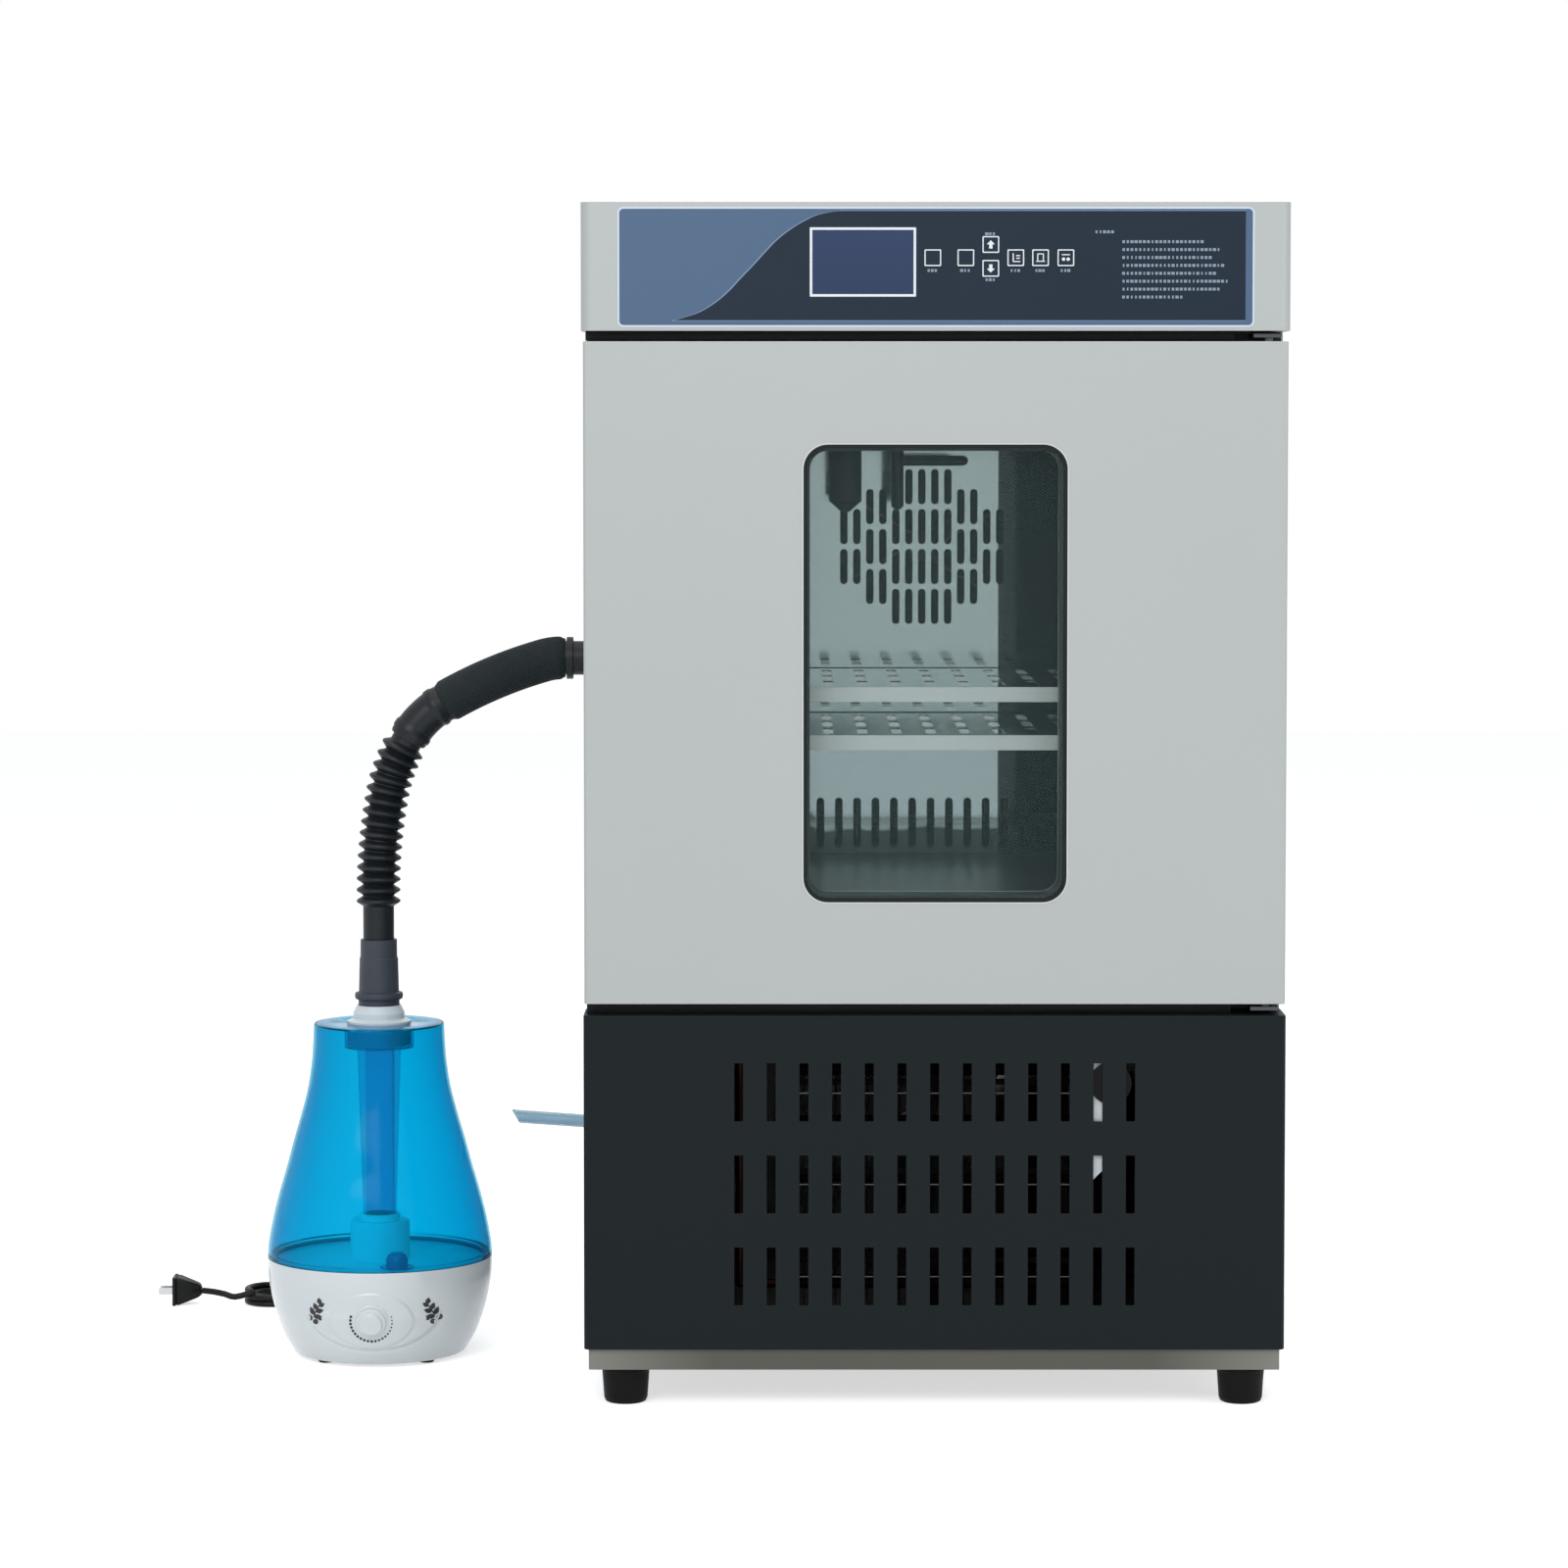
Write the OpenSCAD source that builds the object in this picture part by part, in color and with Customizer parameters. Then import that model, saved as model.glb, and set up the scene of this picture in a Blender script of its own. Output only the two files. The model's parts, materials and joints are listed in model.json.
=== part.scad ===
// Humidity incubator: cooled and heated cabinet with a glazed door, and a mist
// humidifier that feeds its chamber through a hose.
// Millimetres. Origin on the floor under the middle of the cabinet.
// X to the right, Y to the back, Z up.

/* [Cabinet] */
// Width of the cabinet body
cabinet_w = 600; // [540:5:660]
// Depth from door face to rear panel
cabinet_d = 560; // [500:5:620]
// Height of the cabinet from the floor
cabinet_h = 1032.5; // [980:0.5:1100]
// Thickness of the painted sheet
sheet = 1.5; // [1:0.1:2]
// Depth of the parts that stand before the body
front_d = 52; // [44:1:60]
// Height of the rubber feet
foot_h = 32; // [20:1:50]
// Diameter of a foot at its top
foot_top_d = 42; // [30:1:50]
// Distance of the foot centres from the cabinet sides
foot_in = 34; // [28:1:60]
// Distance of the foot centres from the door face and the back
foot_in_y = 30; // [28:1:60]
// Height of the base tray
base_h = 18; // [12:1:30]

/* [Lower panel] */
// Height of the slotted panel under the door
panel_h = 288.5; // [250:0.5:320]
// Columns of slots
slot_columns = 13; // [5:1:17]
// Rows of slots
slot_rows = 3; // [1:1:4]
// Distance between slot columns
slot_pitch = 28; // [20:0.5:34]
// Distance between slot rows
slot_row_pitch = 79.5; // [60:0.5:90]
// Width of one slot
slot_w = 7.5; // [4:0.5:10]
// Length of one slot
slot_l = 50; // [30:1:60]

/* [Door] */
// Gap between the door and the lower panel
door_gap = 10; // [6:0.5:14]
// Gap between the door and the console
console_gap = 9; // [6:0.5:12]
// Thickness of the door pan
door_t = 44; // [38:1:48]
// Width of the window
window_w = 225; // [180:1:300]
// Height of the window
window_h = 391; // [300:1:430]
// Corner radius of the window
window_r = 21; // [8:1:30]
// Width of the black seal round the glass
seal_w = 3; // [2:0.5:6]
// Width of the grey spacer behind the glass
spacer_w = 2.5; // [2:0.5:12]
// Thickness of each pane
glass_t = 4; // [3:0.5:6]
// Distance of the hinge axis from the cabinet side
hinge_in = 16; // [12:0.5:20]
// Diameter of the hinge pins
pin_d = 8; // [6:0.5:10]

/* [Console] */
// Height of the console
console_h = 109; // [90:1:120]
// How far the console is wider than the body on each side
console_over = 2; // [0:0.5:4]
// Wall of the console
console_wall = 3; // [2:0.5:4]
// Radius of its upright front edges
console_r = 10; // [4:1:12]
// Painted margin on each side of the printed panel
overlay_in = 31; // [25:1:60]
// Height of the printed panel
overlay_h = 98.8; // [80:0.2:100]
// Thickness of the printed panel
overlay_t = 0.8; // [0.4:0.1:1.2]
// Width of the display
display_w = 88.8; // [70:0.2:100]
// Height of the display
display_h = 57.5; // [45:0.5:70]
// Edge of a square key
key_w = 14.4; // [10:0.2:16]
// Travel of a key
key_travel = 0.5; // [0.3:0.1:0.8]
// Play round a key
key_gap = 0.4; // [0.3:0.1:0.6]

/* [Chamber] */
// Insulated wall beside the chamber
side_wall = 80; // [70:1:100]
// Insulated wall over the chamber, up to the top of the door
top_wall = 54.5; // [50:0.5:70]
// Insulated wall under the chamber, from the foot of the door
floor_wall = 91.5; // [80:0.5:100]
// Thickness of the stainless sheet
liner_t = 1.2; // [0.8:0.1:1.5]
// Depth of the duct behind its cover
duct_d = 58; // [50:1:62]
// Depth behind the duct, for insulation and the fan motor
back_wall = 80; // [74:1:90]
// Height of the fan axis above the chamber floor
fan_up = 290; // [280:1:300]
// Diameter of the circulation fan
fan_d = 140; // [110:2:150]
// Top of the upper shelf above the chamber floor
shelf_upper = 176; // [160:1:200]
// Top of the lower shelf above the chamber floor
shelf_lower = 134; // [100:1:138]
// Height of the folded shelf edge
shelf_h = 13; // [8:1:20]
// Room behind a shelf, up to the duct cover
shelf_back = 12; // [10:1:30]
// Travel of a shelf behind the closed door
shelf_travel = 25; // [10:1:28]

/* [Mist supply] */
// Distance of the humidifier axis from the cabinet side
mist_out = 197; // [180:1:220]
// Humidifier axis behind the door face
mist_back = 249; // [200:1:320]
// Widest radius of the humidifier
mist_r = 102; // [95:1:110]
// Height of the seam between tank and base
seam_z = 90; // [80:1:100]
// Height of the tank top
tank_top_z = 302.5; // [280:0.5:320]
// Wall of the tank
tank_wall = 2.5; // [2:0.1:4]
// Lift of the tank off its base
tank_lift = 40; // [20:1:45]
// Height of the mist port above the chamber floor
port_up = 193.5; // [180:0.5:220]
// Outer diameter of the port tube
port_d = 30.6; // [26:0.2:34]
// Outer diameter of the foam sleeve
sleeve_d = 39; // [36:0.5:44]
// Outer diameter over the hose ridges
hose_ridge_d = 40; // [36:0.5:42]
// Outer diameter of the plain hose
hose_d = 28; // [26:0.5:30]
// Bore of the hose
hose_bore = 24.4; // [20:0.2:25]
// Number of ridges on the hose
hose_ridges = 15; // [8:1:18]
// Diameter of the mist dial
dial_d = 27; // [20:0.5:32]
// Diameter of the power cord
cord_d = 6; // [5:0.5:8]

/* [Hidden] */
$fn = 96;
// Clearance between parts that are fixed to each other
fit = 0.1;
// Clearance between a sliding part and its guide
slide_gap = 0.3;
// Clearance of a pin that turns in its bore, on the radius
run_gap = 0.06;
e = 1;

front_y = -cabinet_d / 2;
foot_x = cabinet_w / 2 - foot_in;
foot_y = cabinet_d / 2 - foot_in_y;
body_y = front_y + front_d;
back_y = cabinet_d / 2;
base_z = foot_h;
panel_z = foot_h + base_h;
panel_top_z = panel_z + panel_h;
slots_mid_z = panel_z + panel_h / 2 - 1.25;
console_z = cabinet_h - console_h;
door_z = panel_top_z + door_gap;
door_top_z = console_z - console_gap;
door_h = door_top_z - door_z;
door_back_y = front_y + door_t;
door_mid_z = door_z + door_h / 2;
console_mid_z = cabinet_h - console_h / 2;
hinge_x = cabinet_w / 2 - hinge_in;
hinge_y = front_y + 18;
frame_t = 6;
frame_back_y = body_y + frame_t;
chamber_w = cabinet_w - 2 * side_wall;
chamber_z = door_z + floor_wall;
chamber_h = door_top_z - top_wall - chamber_z;
chamber_top_z = chamber_z + chamber_h;
chamber_mid_z = chamber_z + chamber_h / 2;
duct_back_y = back_y - back_wall;
cover_y = duct_back_y - duct_d;
chamber_d = cover_y - body_y;
fan_z = chamber_z + fan_up;
port_z = chamber_z + port_up;
insul_z0 = door_z - 2.5;
insul_z1 = door_top_z + 5.5;
insul_back_y = back_y - 40;
rear_t = 2;
flange_w = 18;
overlay_mid_z = console_mid_z - 0.6;
overlay_w = cabinet_w - 2 * overlay_in;
overlay_r = 4;
display_x = -62;
display_z = console_mid_z + 4;
// Places of the keys, from the middle of the cabinet and the middle of the display.
key_places = [[-2.7, 3.2], [25.3, 3.2], [46.5, 14.4], [46.5, -5.8], [67.7, 3.2], [88.7, 3.2], [110.2, 3.2]];
key_spots = [for (p = key_places) [p[0], display_z + p[1]]];
glass_w = window_w - 2 * seal_w - 2 * fit;
glass_h = window_h - 2 * seal_w - 2 * fit;
clear_w = window_w - 2 * seal_w - 2 * spacer_w;
clear_h = window_h - 2 * seal_w - 2 * spacer_w;
gasket_t = frame_t;
shelf_w = chamber_w - 8;
shelf_y = body_y + 28;
shelf_d = cover_y - shelf_back - shelf_y;
shelf_upper_z = chamber_z + shelf_upper;
shelf_lower_z = chamber_z + shelf_lower;
motor_shaft_d = 8;
cond_y = body_y + 20;
cond_fan_y = body_y + 110;
cond_fan_z = panel_z + panel_h / 2 - 4.25;
cond_fan_d = 190;
comp_x = cabinet_w / 2 - 160;
comp_y = back_y - 155;
comp_d = 170;
drain_y = back_y - 260;
drain_z = panel_z + 150;
drain_d = 12;
inlet_x = -cabinet_w / 2 + 100;
inlet_z = panel_z + 100;

mist_x = cabinet_w / 2 + mist_out;
mist_y = front_y + mist_back;

// The hose leaves the port level and hangs over the tank in five bends, each a radius and
// a turn. The last one ends straight down above the tank.
hose_x0 = -cabinet_w / 2 - 30;
first_bends = [[60, 16], [403, 14], [90, 30], [160, 19]];
function turn_to(i) = i == 0 ? 0 : turn_to(i - 1) + first_bends[i - 1][1];
function bend_dx(i) = i == 0 ? 0 :
  bend_dx(i - 1) + first_bends[i - 1][0] * (sin(turn_to(i)) - sin(turn_to(i - 1)));
last_turn = turn_to(len(first_bends));
last_r = (mist_x + hose_x0 - bend_dx(len(first_bends))) / (1 - sin(last_turn));
hose_bends = concat(first_bends, [[last_r, 90 - last_turn]]);
hose_foot_z = 366;
plain_top_z = 408;
cuff_z = 318.5;
cuff_top_z = 378;

// Outline of the tank, radius and height, drawn for a radius of 102 and heights of 90 to 302.5.
tank_drawn = [[59, 302.5], [59.8, 286], [61, 269], [64.5, 245], [70.5, 221], [77.5, 197],
              [84, 173], [91, 149], [97, 125], [101, 103], [102, 90]];
tank_points = [for (p = tank_drawn)
  [p[0] * mist_r / 102, seam_z + (p[1] - 90) * (tank_top_z - seam_z) / 212.5]];
base_drawn = [[102, 90], [101.6, 76], [99.6, 62], [96.6, 48], [92.4, 34], [86.5, 19], [78, 5]];
base_points = [for (p = base_drawn) [p[0] * mist_r / 102, p[1] * seam_z / 90]];
// The dial sits on the front of the base, where its surface leans down.
dial_z = 46 * seam_z / 90;
dial_tilt = 16;
dial_reach = 95.5 * mist_r / 102;

// The cord's route on the floor, from the humidifier's axis.
cord_route = [[0, 85, 15], [-2, 97, 14], [-7, 113, 9], [-15, 131, 4], [-27, 155, 3.2],
              [-37, 177, 3.2], [-44, 207, 3.2], [-51, 227, 3.2]];
lead_route = [[-151, 234, 6], [-159, 229, 9], [-169, 230, 11.5], [-180, 234, 13], [-191, 238, 13.5]];
cord_points = [for (p = cord_route) [p[0] - mist_x, p[1] + mist_y, p[2]]];
lead_points = [for (p = lead_route) [p[0] - mist_x, p[1] + mist_y, p[2]]];
hank_x = -mist_x - 98;
hank_y = mist_y + 246;
hank_l = 108;
hank_w = 54;
hank_h = 17;
hank_band = 15;
plug_x = -mist_x - 205;
plug_y = mist_y + 241;

// Rounded rectangle about the origin, made of plain shapes so that it stays exact.
module rounded(w, h, r) {
  square([w - 2 * r, h], center = true);
  square([w, h - 2 * r], center = true);
  for (x = [-1, 1], y = [-1, 1]) translate([x * (w / 2 - r), y * (h / 2 - r)]) circle(r = r);
}

module slot(w, h) {
  square([w, h - w], center = true);
  for (s = [-1, 1]) translate([0, s * (h - w) / 2]) circle(d = w, $fn = 32);
}

// Plate standing across the cabinet: its front face is at y, its centre at (x, z).
module upright(x, y, z, t) {
  translate([x, y + t, z]) rotate([90, 0, 0]) linear_extrude(t) children();
}

// Rod along the depth from y0 to y1.
module rod_y(x, z, y0, y1, d) {
  translate([x, y1, z]) rotate([90, 0, 0]) cylinder(d = d, h = y1 - y0);
}

module rod_x(x0, x1, y, z, d) {
  translate([x0, y, z]) rotate([0, 90, 0]) cylinder(d = d, h = x1 - x0);
}

// Box with its upright front edges rounded.
module fronted(w, y0, y1, z0, z1, r) {
  translate([0, 0, z0]) linear_extrude(z1 - z0) {
    translate([-w / 2, y0 + r]) square([w, y1 - y0 - r]);
    translate([-w / 2 + r, y0]) square([w - 2 * r, r + e]);
    for (s = [-1, 1]) translate([s * (w / 2 - r), y0 + r]) circle(r = r);
  }
}

module outer_casing() {
  inner_w = cabinet_w - 2 * sheet;
  color("#c4c6c0") difference() {
    union() {
      difference() {
        translate([-cabinet_w / 2, body_y, panel_z])
          cube([cabinet_w, cabinet_d - front_d, cabinet_h - panel_z]);
        translate([-inner_w / 2, body_y - e, panel_z - e])
          cube([inner_w, cabinet_d - front_d + 2 * e, cabinet_h - panel_z - sheet + e]);
      }
      // Rear flange that the rear panel is screwed to.
      upright(0, back_y - rear_t - sheet, (panel_z + cabinet_h) / 2, sheet) difference() {
        square([inner_w + sheet, cabinet_h - panel_z - sheet], center = true);
        square([inner_w - 2 * flange_w, cabinet_h - panel_z - 2 * flange_w], center = true);
      }
    }
    for (p = rear_screws()) rod_y(p[0], p[1], back_y - 9, back_y + e, 4);
    rod_x(-cabinet_w / 2 - e, -cabinet_w / 2 + 4, mist_y, port_z, port_d + 2 * fit);
    spout_run(drain_d + 2 * fit, cabinet_w / 2 - chamber_w / 2 + 20);
    for (s = [-1, 1], i = [0 : 7], k = [0, 1])
      translate([s * cabinet_w / 2, back_y - 180 + i * 16, panel_z + 70 + k * 70]) rotate([0, 90, 0])
        rotate([0, 0, 90]) linear_extrude(8, center = true) rotate(90) slot(6, 46);
  }
}

screw_low_z = panel_z + 40;
screw_step = (cabinet_h - 10.5 - screw_low_z) / 4;
function rear_screws() = [for (x = [-1, 0, 1], k = [0 : 4])
  if (x != 0 || k == 4) [x * (cabinet_w / 2 - 10), screw_low_z + k * screw_step]];

module rear_panel() {
  w = cabinet_w - 2 * sheet - 2 * fit;
  color("#c4c6c0") upright(0, back_y - rear_t, (panel_z + cabinet_h - sheet) / 2, rear_t)
    difference() {
      square([w, cabinet_h - panel_z - sheet - 2 * fit], center = true);
      translate([0, -(panel_z + cabinet_h - sheet) / 2]) {
        for (p = rear_screws()) translate(p) circle(d = 4, $fn = 24);
        for (i = [-9 : 9], k = [0, 1]) translate([i * 18, panel_z + 205 + k * 56])
          slot(6, 46);
        translate([inlet_x, inlet_z]) square([30.2, 24.2], center = true);
      }
    }
}

module base_frame() {
  w = cabinet_w - 6;
  y0 = front_y + 4;
  d = back_y - 2 - y0;
  color("#c9cac4") difference() {
    translate([-w / 2, y0, base_z]) cube([w, d, base_h]);
    difference() {
      translate([-w / 2 + 2, y0 + 2, base_z - e]) cube([w - 4, d - 4, base_h - 2 + e]);
      for (x = [-1, 1], y = [-1, 1])
        translate([x * foot_x, y * foot_y, base_z - 2 * e]) cylinder(d = 34, h = base_h);
    }
    for (x = [-1, 1], y = [-1, 1])
      translate([x * foot_x, y * foot_y, base_z - e]) cylinder(d = 10 + 2 * fit, h = 13 + e);
  }
}

module feet() {
  color("#1b1c1e") for (x = [-1, 1], y = [-1, 1]) translate([x * foot_x, y * foot_y, 0])
    rotate_extrude() polygon([
      [0, 0], [foot_top_d / 2 - 5.5, 0], [foot_top_d / 2 - 3.4, 1], [foot_top_d / 2 - 2.2, 4],
      [foot_top_d / 2 - 0.6, foot_h - 5], [foot_top_d / 2, foot_h - 4],
      [foot_top_d / 2, foot_h], [5, foot_h], [5, foot_h + 12], [0, foot_h + 12]]);
}

module lower_front_panel() {
  w = cabinet_w + 2;
  color("#272b2f") difference() {
    fronted(w, front_y, body_y, panel_z, panel_top_z, 5);
    fronted(w - 2 * sheet, front_y + sheet, body_y + e, panel_z + sheet, panel_top_z - sheet, 3.5);
    upright(0, front_y - e, slots_mid_z, sheet + 2 * e)
      for (i = [0 : slot_columns - 1], k = [0 : slot_rows - 1])
        translate([(i - (slot_columns - 1) / 2) * slot_pitch,
                   (k - (slot_rows - 1) / 2) * slot_row_pitch])
          square([slot_w, slot_l], center = true);
  }
}

module front_frame() {
  z0 = panel_top_z - 22;
  z1 = console_z + 22;
  color("#191a1c") difference() {
    upright(0, body_y, (z0 + z1) / 2, frame_t) difference() {
      square([cabinet_w - 2 * sheet - 2 * fit, z1 - z0], center = true);
      translate([0, chamber_mid_z - (z0 + z1) / 2]) square([chamber_w, chamber_h], center = true);
    }
    for (z = [bracket_low_z, bracket_top_z]) bracket_plate(z, fit);
  }
}

bracket_t = 3;
bracket_top_z = door_top_z + 3.5;
bracket_low_z = door_z - 3.5 - bracket_t;

module bracket_plate(z, grow) {
  translate([hinge_x - 13 - grow, hinge_y - 8, z - grow])
    cube([24 + 2 * grow, frame_back_y - hinge_y + 8 + grow, bracket_t + 2 * grow]);
}

module hinge_brackets() {
  color("#b7babd") {
    bracket_plate(bracket_top_z, 0);
    translate([hinge_x, hinge_y, door_top_z - 14]) cylinder(d = pin_d, h = 14 + 3.5 + e);
    bracket_plate(bracket_low_z, 0);
    translate([hinge_x, hinge_y, bracket_low_z + e]) cylinder(d = pin_d, h = 14 + 3.5 + 2);
  }
}

module chamber_liner() {
  w = chamber_w + 2 * liner_t;
  h = chamber_h + 2 * liner_t;
  color("#aeb4b4") difference() {
    translate([-w / 2, frame_back_y, chamber_z - liner_t])
      cube([w, duct_back_y + liner_t - frame_back_y, h]);
    translate([-chamber_w / 2, frame_back_y - e, chamber_z])
      cube([chamber_w, duct_back_y - frame_back_y + e, chamber_h]);
    rod_x(-w / 2 - e, -w / 2 + 4, mist_y, port_z, port_d + 2 * fit);
    rod_y(0, fan_z, duct_back_y - e, duct_back_y + 4, motor_shaft_d + 4);
    translate([sensor_x, sensor_y, chamber_z + chamber_h - e])
      cylinder(d = sensor_d + 2 * fit, h = 4);
    translate([probe_x, sensor_y, chamber_z + chamber_h - e])
      cylinder(d = probe_d + 2 * fit, h = 4);
    translate([drain_x, drain_y, chamber_z - 4]) cylinder(d = drain_d + 2 * fit, h = 6);
    for (z = pipe_heights) rod_y(pipe_x, z, duct_back_y - e, duct_back_y + 4, 10);
  }
}

sensor_x = -74.5;
sensor_y = body_y + 148;
sensor_d = 29;
sensor_tip_z = chamber_top_z - 94;
probe_x = -28;
probe_tip_z = chamber_top_z - 92;
bulb_z = chamber_top_z - 48;
drain_x = -chamber_w / 2 + 20;
probe_d = 15;
sensor_top_z = insul_z1 - 20;
pipe_x = chamber_w / 2 - 34;
pipe_heights = [chamber_z + 46, chamber_z + 140];

module insulation() {
  w = cabinet_w - 2 * sheet - 2 * fit;
  lw = chamber_w + 2 * liner_t + 2 * fit;
  lh = chamber_h + 2 * liner_t + 2 * fit;
  color("#e3d9b0") difference() {
    translate([-w / 2, frame_back_y, insul_z0])
      cube([w, insul_back_y - frame_back_y, insul_z1 - insul_z0]);
    translate([-lw / 2, frame_back_y - e, chamber_mid_z - lh / 2])
      cube([lw, duct_back_y + liner_t + fit - frame_back_y + e, lh]);
    rod_x(-w / 2 - e, -lw / 2 + e, mist_y, port_z, port_d + 2 * fit);
    rod_y(0, fan_z, duct_back_y, insul_back_y + e, 86);
    translate([sensor_x, sensor_y, chamber_z]) cylinder(d = sensor_d + 2 * fit, h = 600);
    translate([probe_x, sensor_y, chamber_z]) cylinder(d = probe_d + 2 * fit, h = 600);
    translate([drain_x, drain_y, insul_z0 - e]) cylinder(d = drain_d + 2 * fit, h = 120);
    for (z = pipe_heights) rod_y(pipe_x, z, duct_back_y, insul_back_y + e, 11);
  }
}

module duct_cover() {
  w = chamber_w - 1;
  h = chamber_h - 1;
  // Slots in each column of the fan grille, from the middle outwards.
  counts = [4, 4, 4, 3, 3, 2, 2];
  color("#aeb4b4") {
    difference() {
      upright(0, cover_y, chamber_mid_z, liner_t) difference() {
        square([w, h], center = true);
        for (i = [-6 : 6]) let (n = counts[abs(i)]) for (k = [0 : n - 1])
          translate([i * 12.2, fan_z - chamber_mid_z + (k - (n - 1) / 2) * 37.5]) slot(7, 33);
        for (i = [0 : row_slots - 1])
          translate([(i - (row_slots - 1) / 2) * 17.3, chamber_z + 30 - chamber_mid_z]) slot(7.3, 47);
        for (p = cover_screws) translate([p[0], p[1] - chamber_mid_z]) circle(d = 4, $fn = 24);
      }
    }
    for (s = [-1, 1]) translate([s * (w / 2 - liner_t / 2), cover_y + duct_d / 2, chamber_mid_z])
      cube([liner_t, duct_d, h], center = true);
  }
}

row_slots = floor((chamber_w - 24) / 17.3);
cover_screws = [for (x = [-1, 1], z = [chamber_z + 15, chamber_mid_z, chamber_top_z - 15]) [x * (chamber_w / 2 - 12), z]];

module heater() {
  color("#7d7f80") {
    translate([0, duct_back_y - 24, fan_z]) rotate([90, 0, 0])
      rotate_extrude() translate([92, 0]) circle(d = 8, $fn = 32);
    for (a = [160, 200]) rod_y(92 * cos(a), fan_z + 92 * sin(a), duct_back_y - 24, duct_back_y, 6);
  }
}

coil_x = pipe_x - 18;

module evaporator() {
  color("#a9adb0") {
    for (i = [-8 : 8]) translate([i * coil_x / 8.4 - 0.5, cover_y + 10, chamber_z + 15]) cube([1, 40, 160]);
    for (k = [0 : 4], y = [cover_y + 19, cover_y + 41]) rod_x(-coil_x, coil_x, y, chamber_z + 30 + k * 32, 9.5);
    for (s = [-1, 1]) translate([s * (coil_x + 1) - 1, cover_y + 8, chamber_z]) cube([2, duct_d - 8, 190]);
    for (i = [0, 1]) rod_x(coil_x - 1, pipe_x, cover_y + 41, pipe_heights[i], 9.5);
    for (z = pipe_heights) translate([pipe_x, cover_y + 41, z]) sphere(d = 9.5, $fn = 32);
    for (z = pipe_heights) rod_y(pipe_x, z, cover_y + 41, duct_back_y - 1, 9.5);
  }
}

module fan_motor() {
  color("#54575a") {
    rod_y(0, fan_z, duct_back_y + liner_t, duct_back_y + liner_t + 44, 76);
    rod_y(0, fan_z, duct_back_y + liner_t + 44, duct_back_y + liner_t + 50, 30);
    rod_y(0, fan_z, cover_y + 8, duct_back_y + liner_t + e, motor_shaft_d);
  }
}

// Propeller about the Y axis through the origin, running from y = 0 to y = depth.
module propeller(d, depth, hub_d, blades) {
  color("#3a3d40") difference() {
    union() {
      rod_y(0, 0, 0, depth, hub_d);
      intersection() {
        rod_y(0, 0, 1, depth - 1, d);
        for (i = [0 : blades - 1]) rotate([0, i * 360 / blades, 0])
          translate([0, depth / 2, 0]) rotate([0, 0, 32])
            translate([-1, -depth, hub_d / 2 - 3]) cube([2, 2 * depth, d / 2]);
      }
    }
    rod_y(0, 0, -e, depth + e, motor_shaft_d + 2 * run_gap);
  }
}

module circulation_fan() {
  translate([0, cover_y + 12, fan_z]) propeller(fan_d, 22, 28, 6);
}

module condenser_fan() {
  translate([0, cond_fan_y, cond_fan_z]) propeller(cond_fan_d, 26, 40, 5);
}

module condenser_fan_motor() {
  y0 = cond_fan_y + 32;
  color("#4b4e51") {
    rod_y(0, cond_fan_z, y0, y0 + 46, 74);
    rod_y(0, cond_fan_z, cond_fan_y - 2, y0 + e, motor_shaft_d);
    translate([-20, y0 + 10, panel_z]) cube([40, 3, cond_fan_z - panel_z]);
    translate([-30, y0 + 10, panel_z]) cube([60, 30, 2]);
  }
}

cond_x = 122;
pipe_low_z = panel_z + 42;
pipe_high_z = panel_z + 230;
pipe_over_z = panel_top_z - 28.5;
liquid_x = -cond_x - 46;
suction_y = back_y - 24;
liquid_y = back_y - 12;

module condenser() {
  z0 = panel_z + 24;
  color("#8b8f92") {
    for (i = [-8 : 8]) translate([i * 14 - 0.4, cond_y + 10, z0]) cube([0.8, 34, 226]);
    for (k = [0 : 4], y = [cond_y + 18, cond_y + 36]) rod_x(-cond_x, cond_x, y, z0 + 18 + k * 47, 9.5);
    for (s = [-1, 1]) translate([s * cond_x - 1, cond_y + 8, panel_z]) cube([2, 38, 256]);
    for (s = [-1, 1]) translate([s * (cond_x + 8) - 9, cond_y + 8, panel_z]) cube([18, 38, 2]);
    for (k = [-1, 0, 1]) translate([-cond_x, cond_y + 5, slots_mid_z - 0.5 + k * 78.5 - 2.5])
      cube([2 * cond_x, 4, 5]);
  }
}

module compressor() {
  color("#1d1e20") {
    translate([comp_x, comp_y, panel_z + 10]) rotate_extrude() polygon([
      [0, 0], [comp_d / 2 - 14, 0], [comp_d / 2 - 4, 6], [comp_d / 2, 18], [comp_d / 2, 82],
      [comp_d / 2 + 3, 82], [comp_d / 2 + 3, 90], [comp_d / 2, 90], [comp_d / 2, 140],
      [comp_d / 2 - 5, 158], [comp_d / 2 - 18, 172], [comp_d / 2 - 40, 180], [0, 183]]);
    translate([comp_x - 95, comp_y - 60, panel_z + 6]) cube([190, 120, 4.5]);
    for (x = [-80, 80], y = [-48, 48]) translate([comp_x + x, comp_y + y, panel_z])
      cylinder(d = 22, h = 7, $fn = 40);
  }
}

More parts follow.
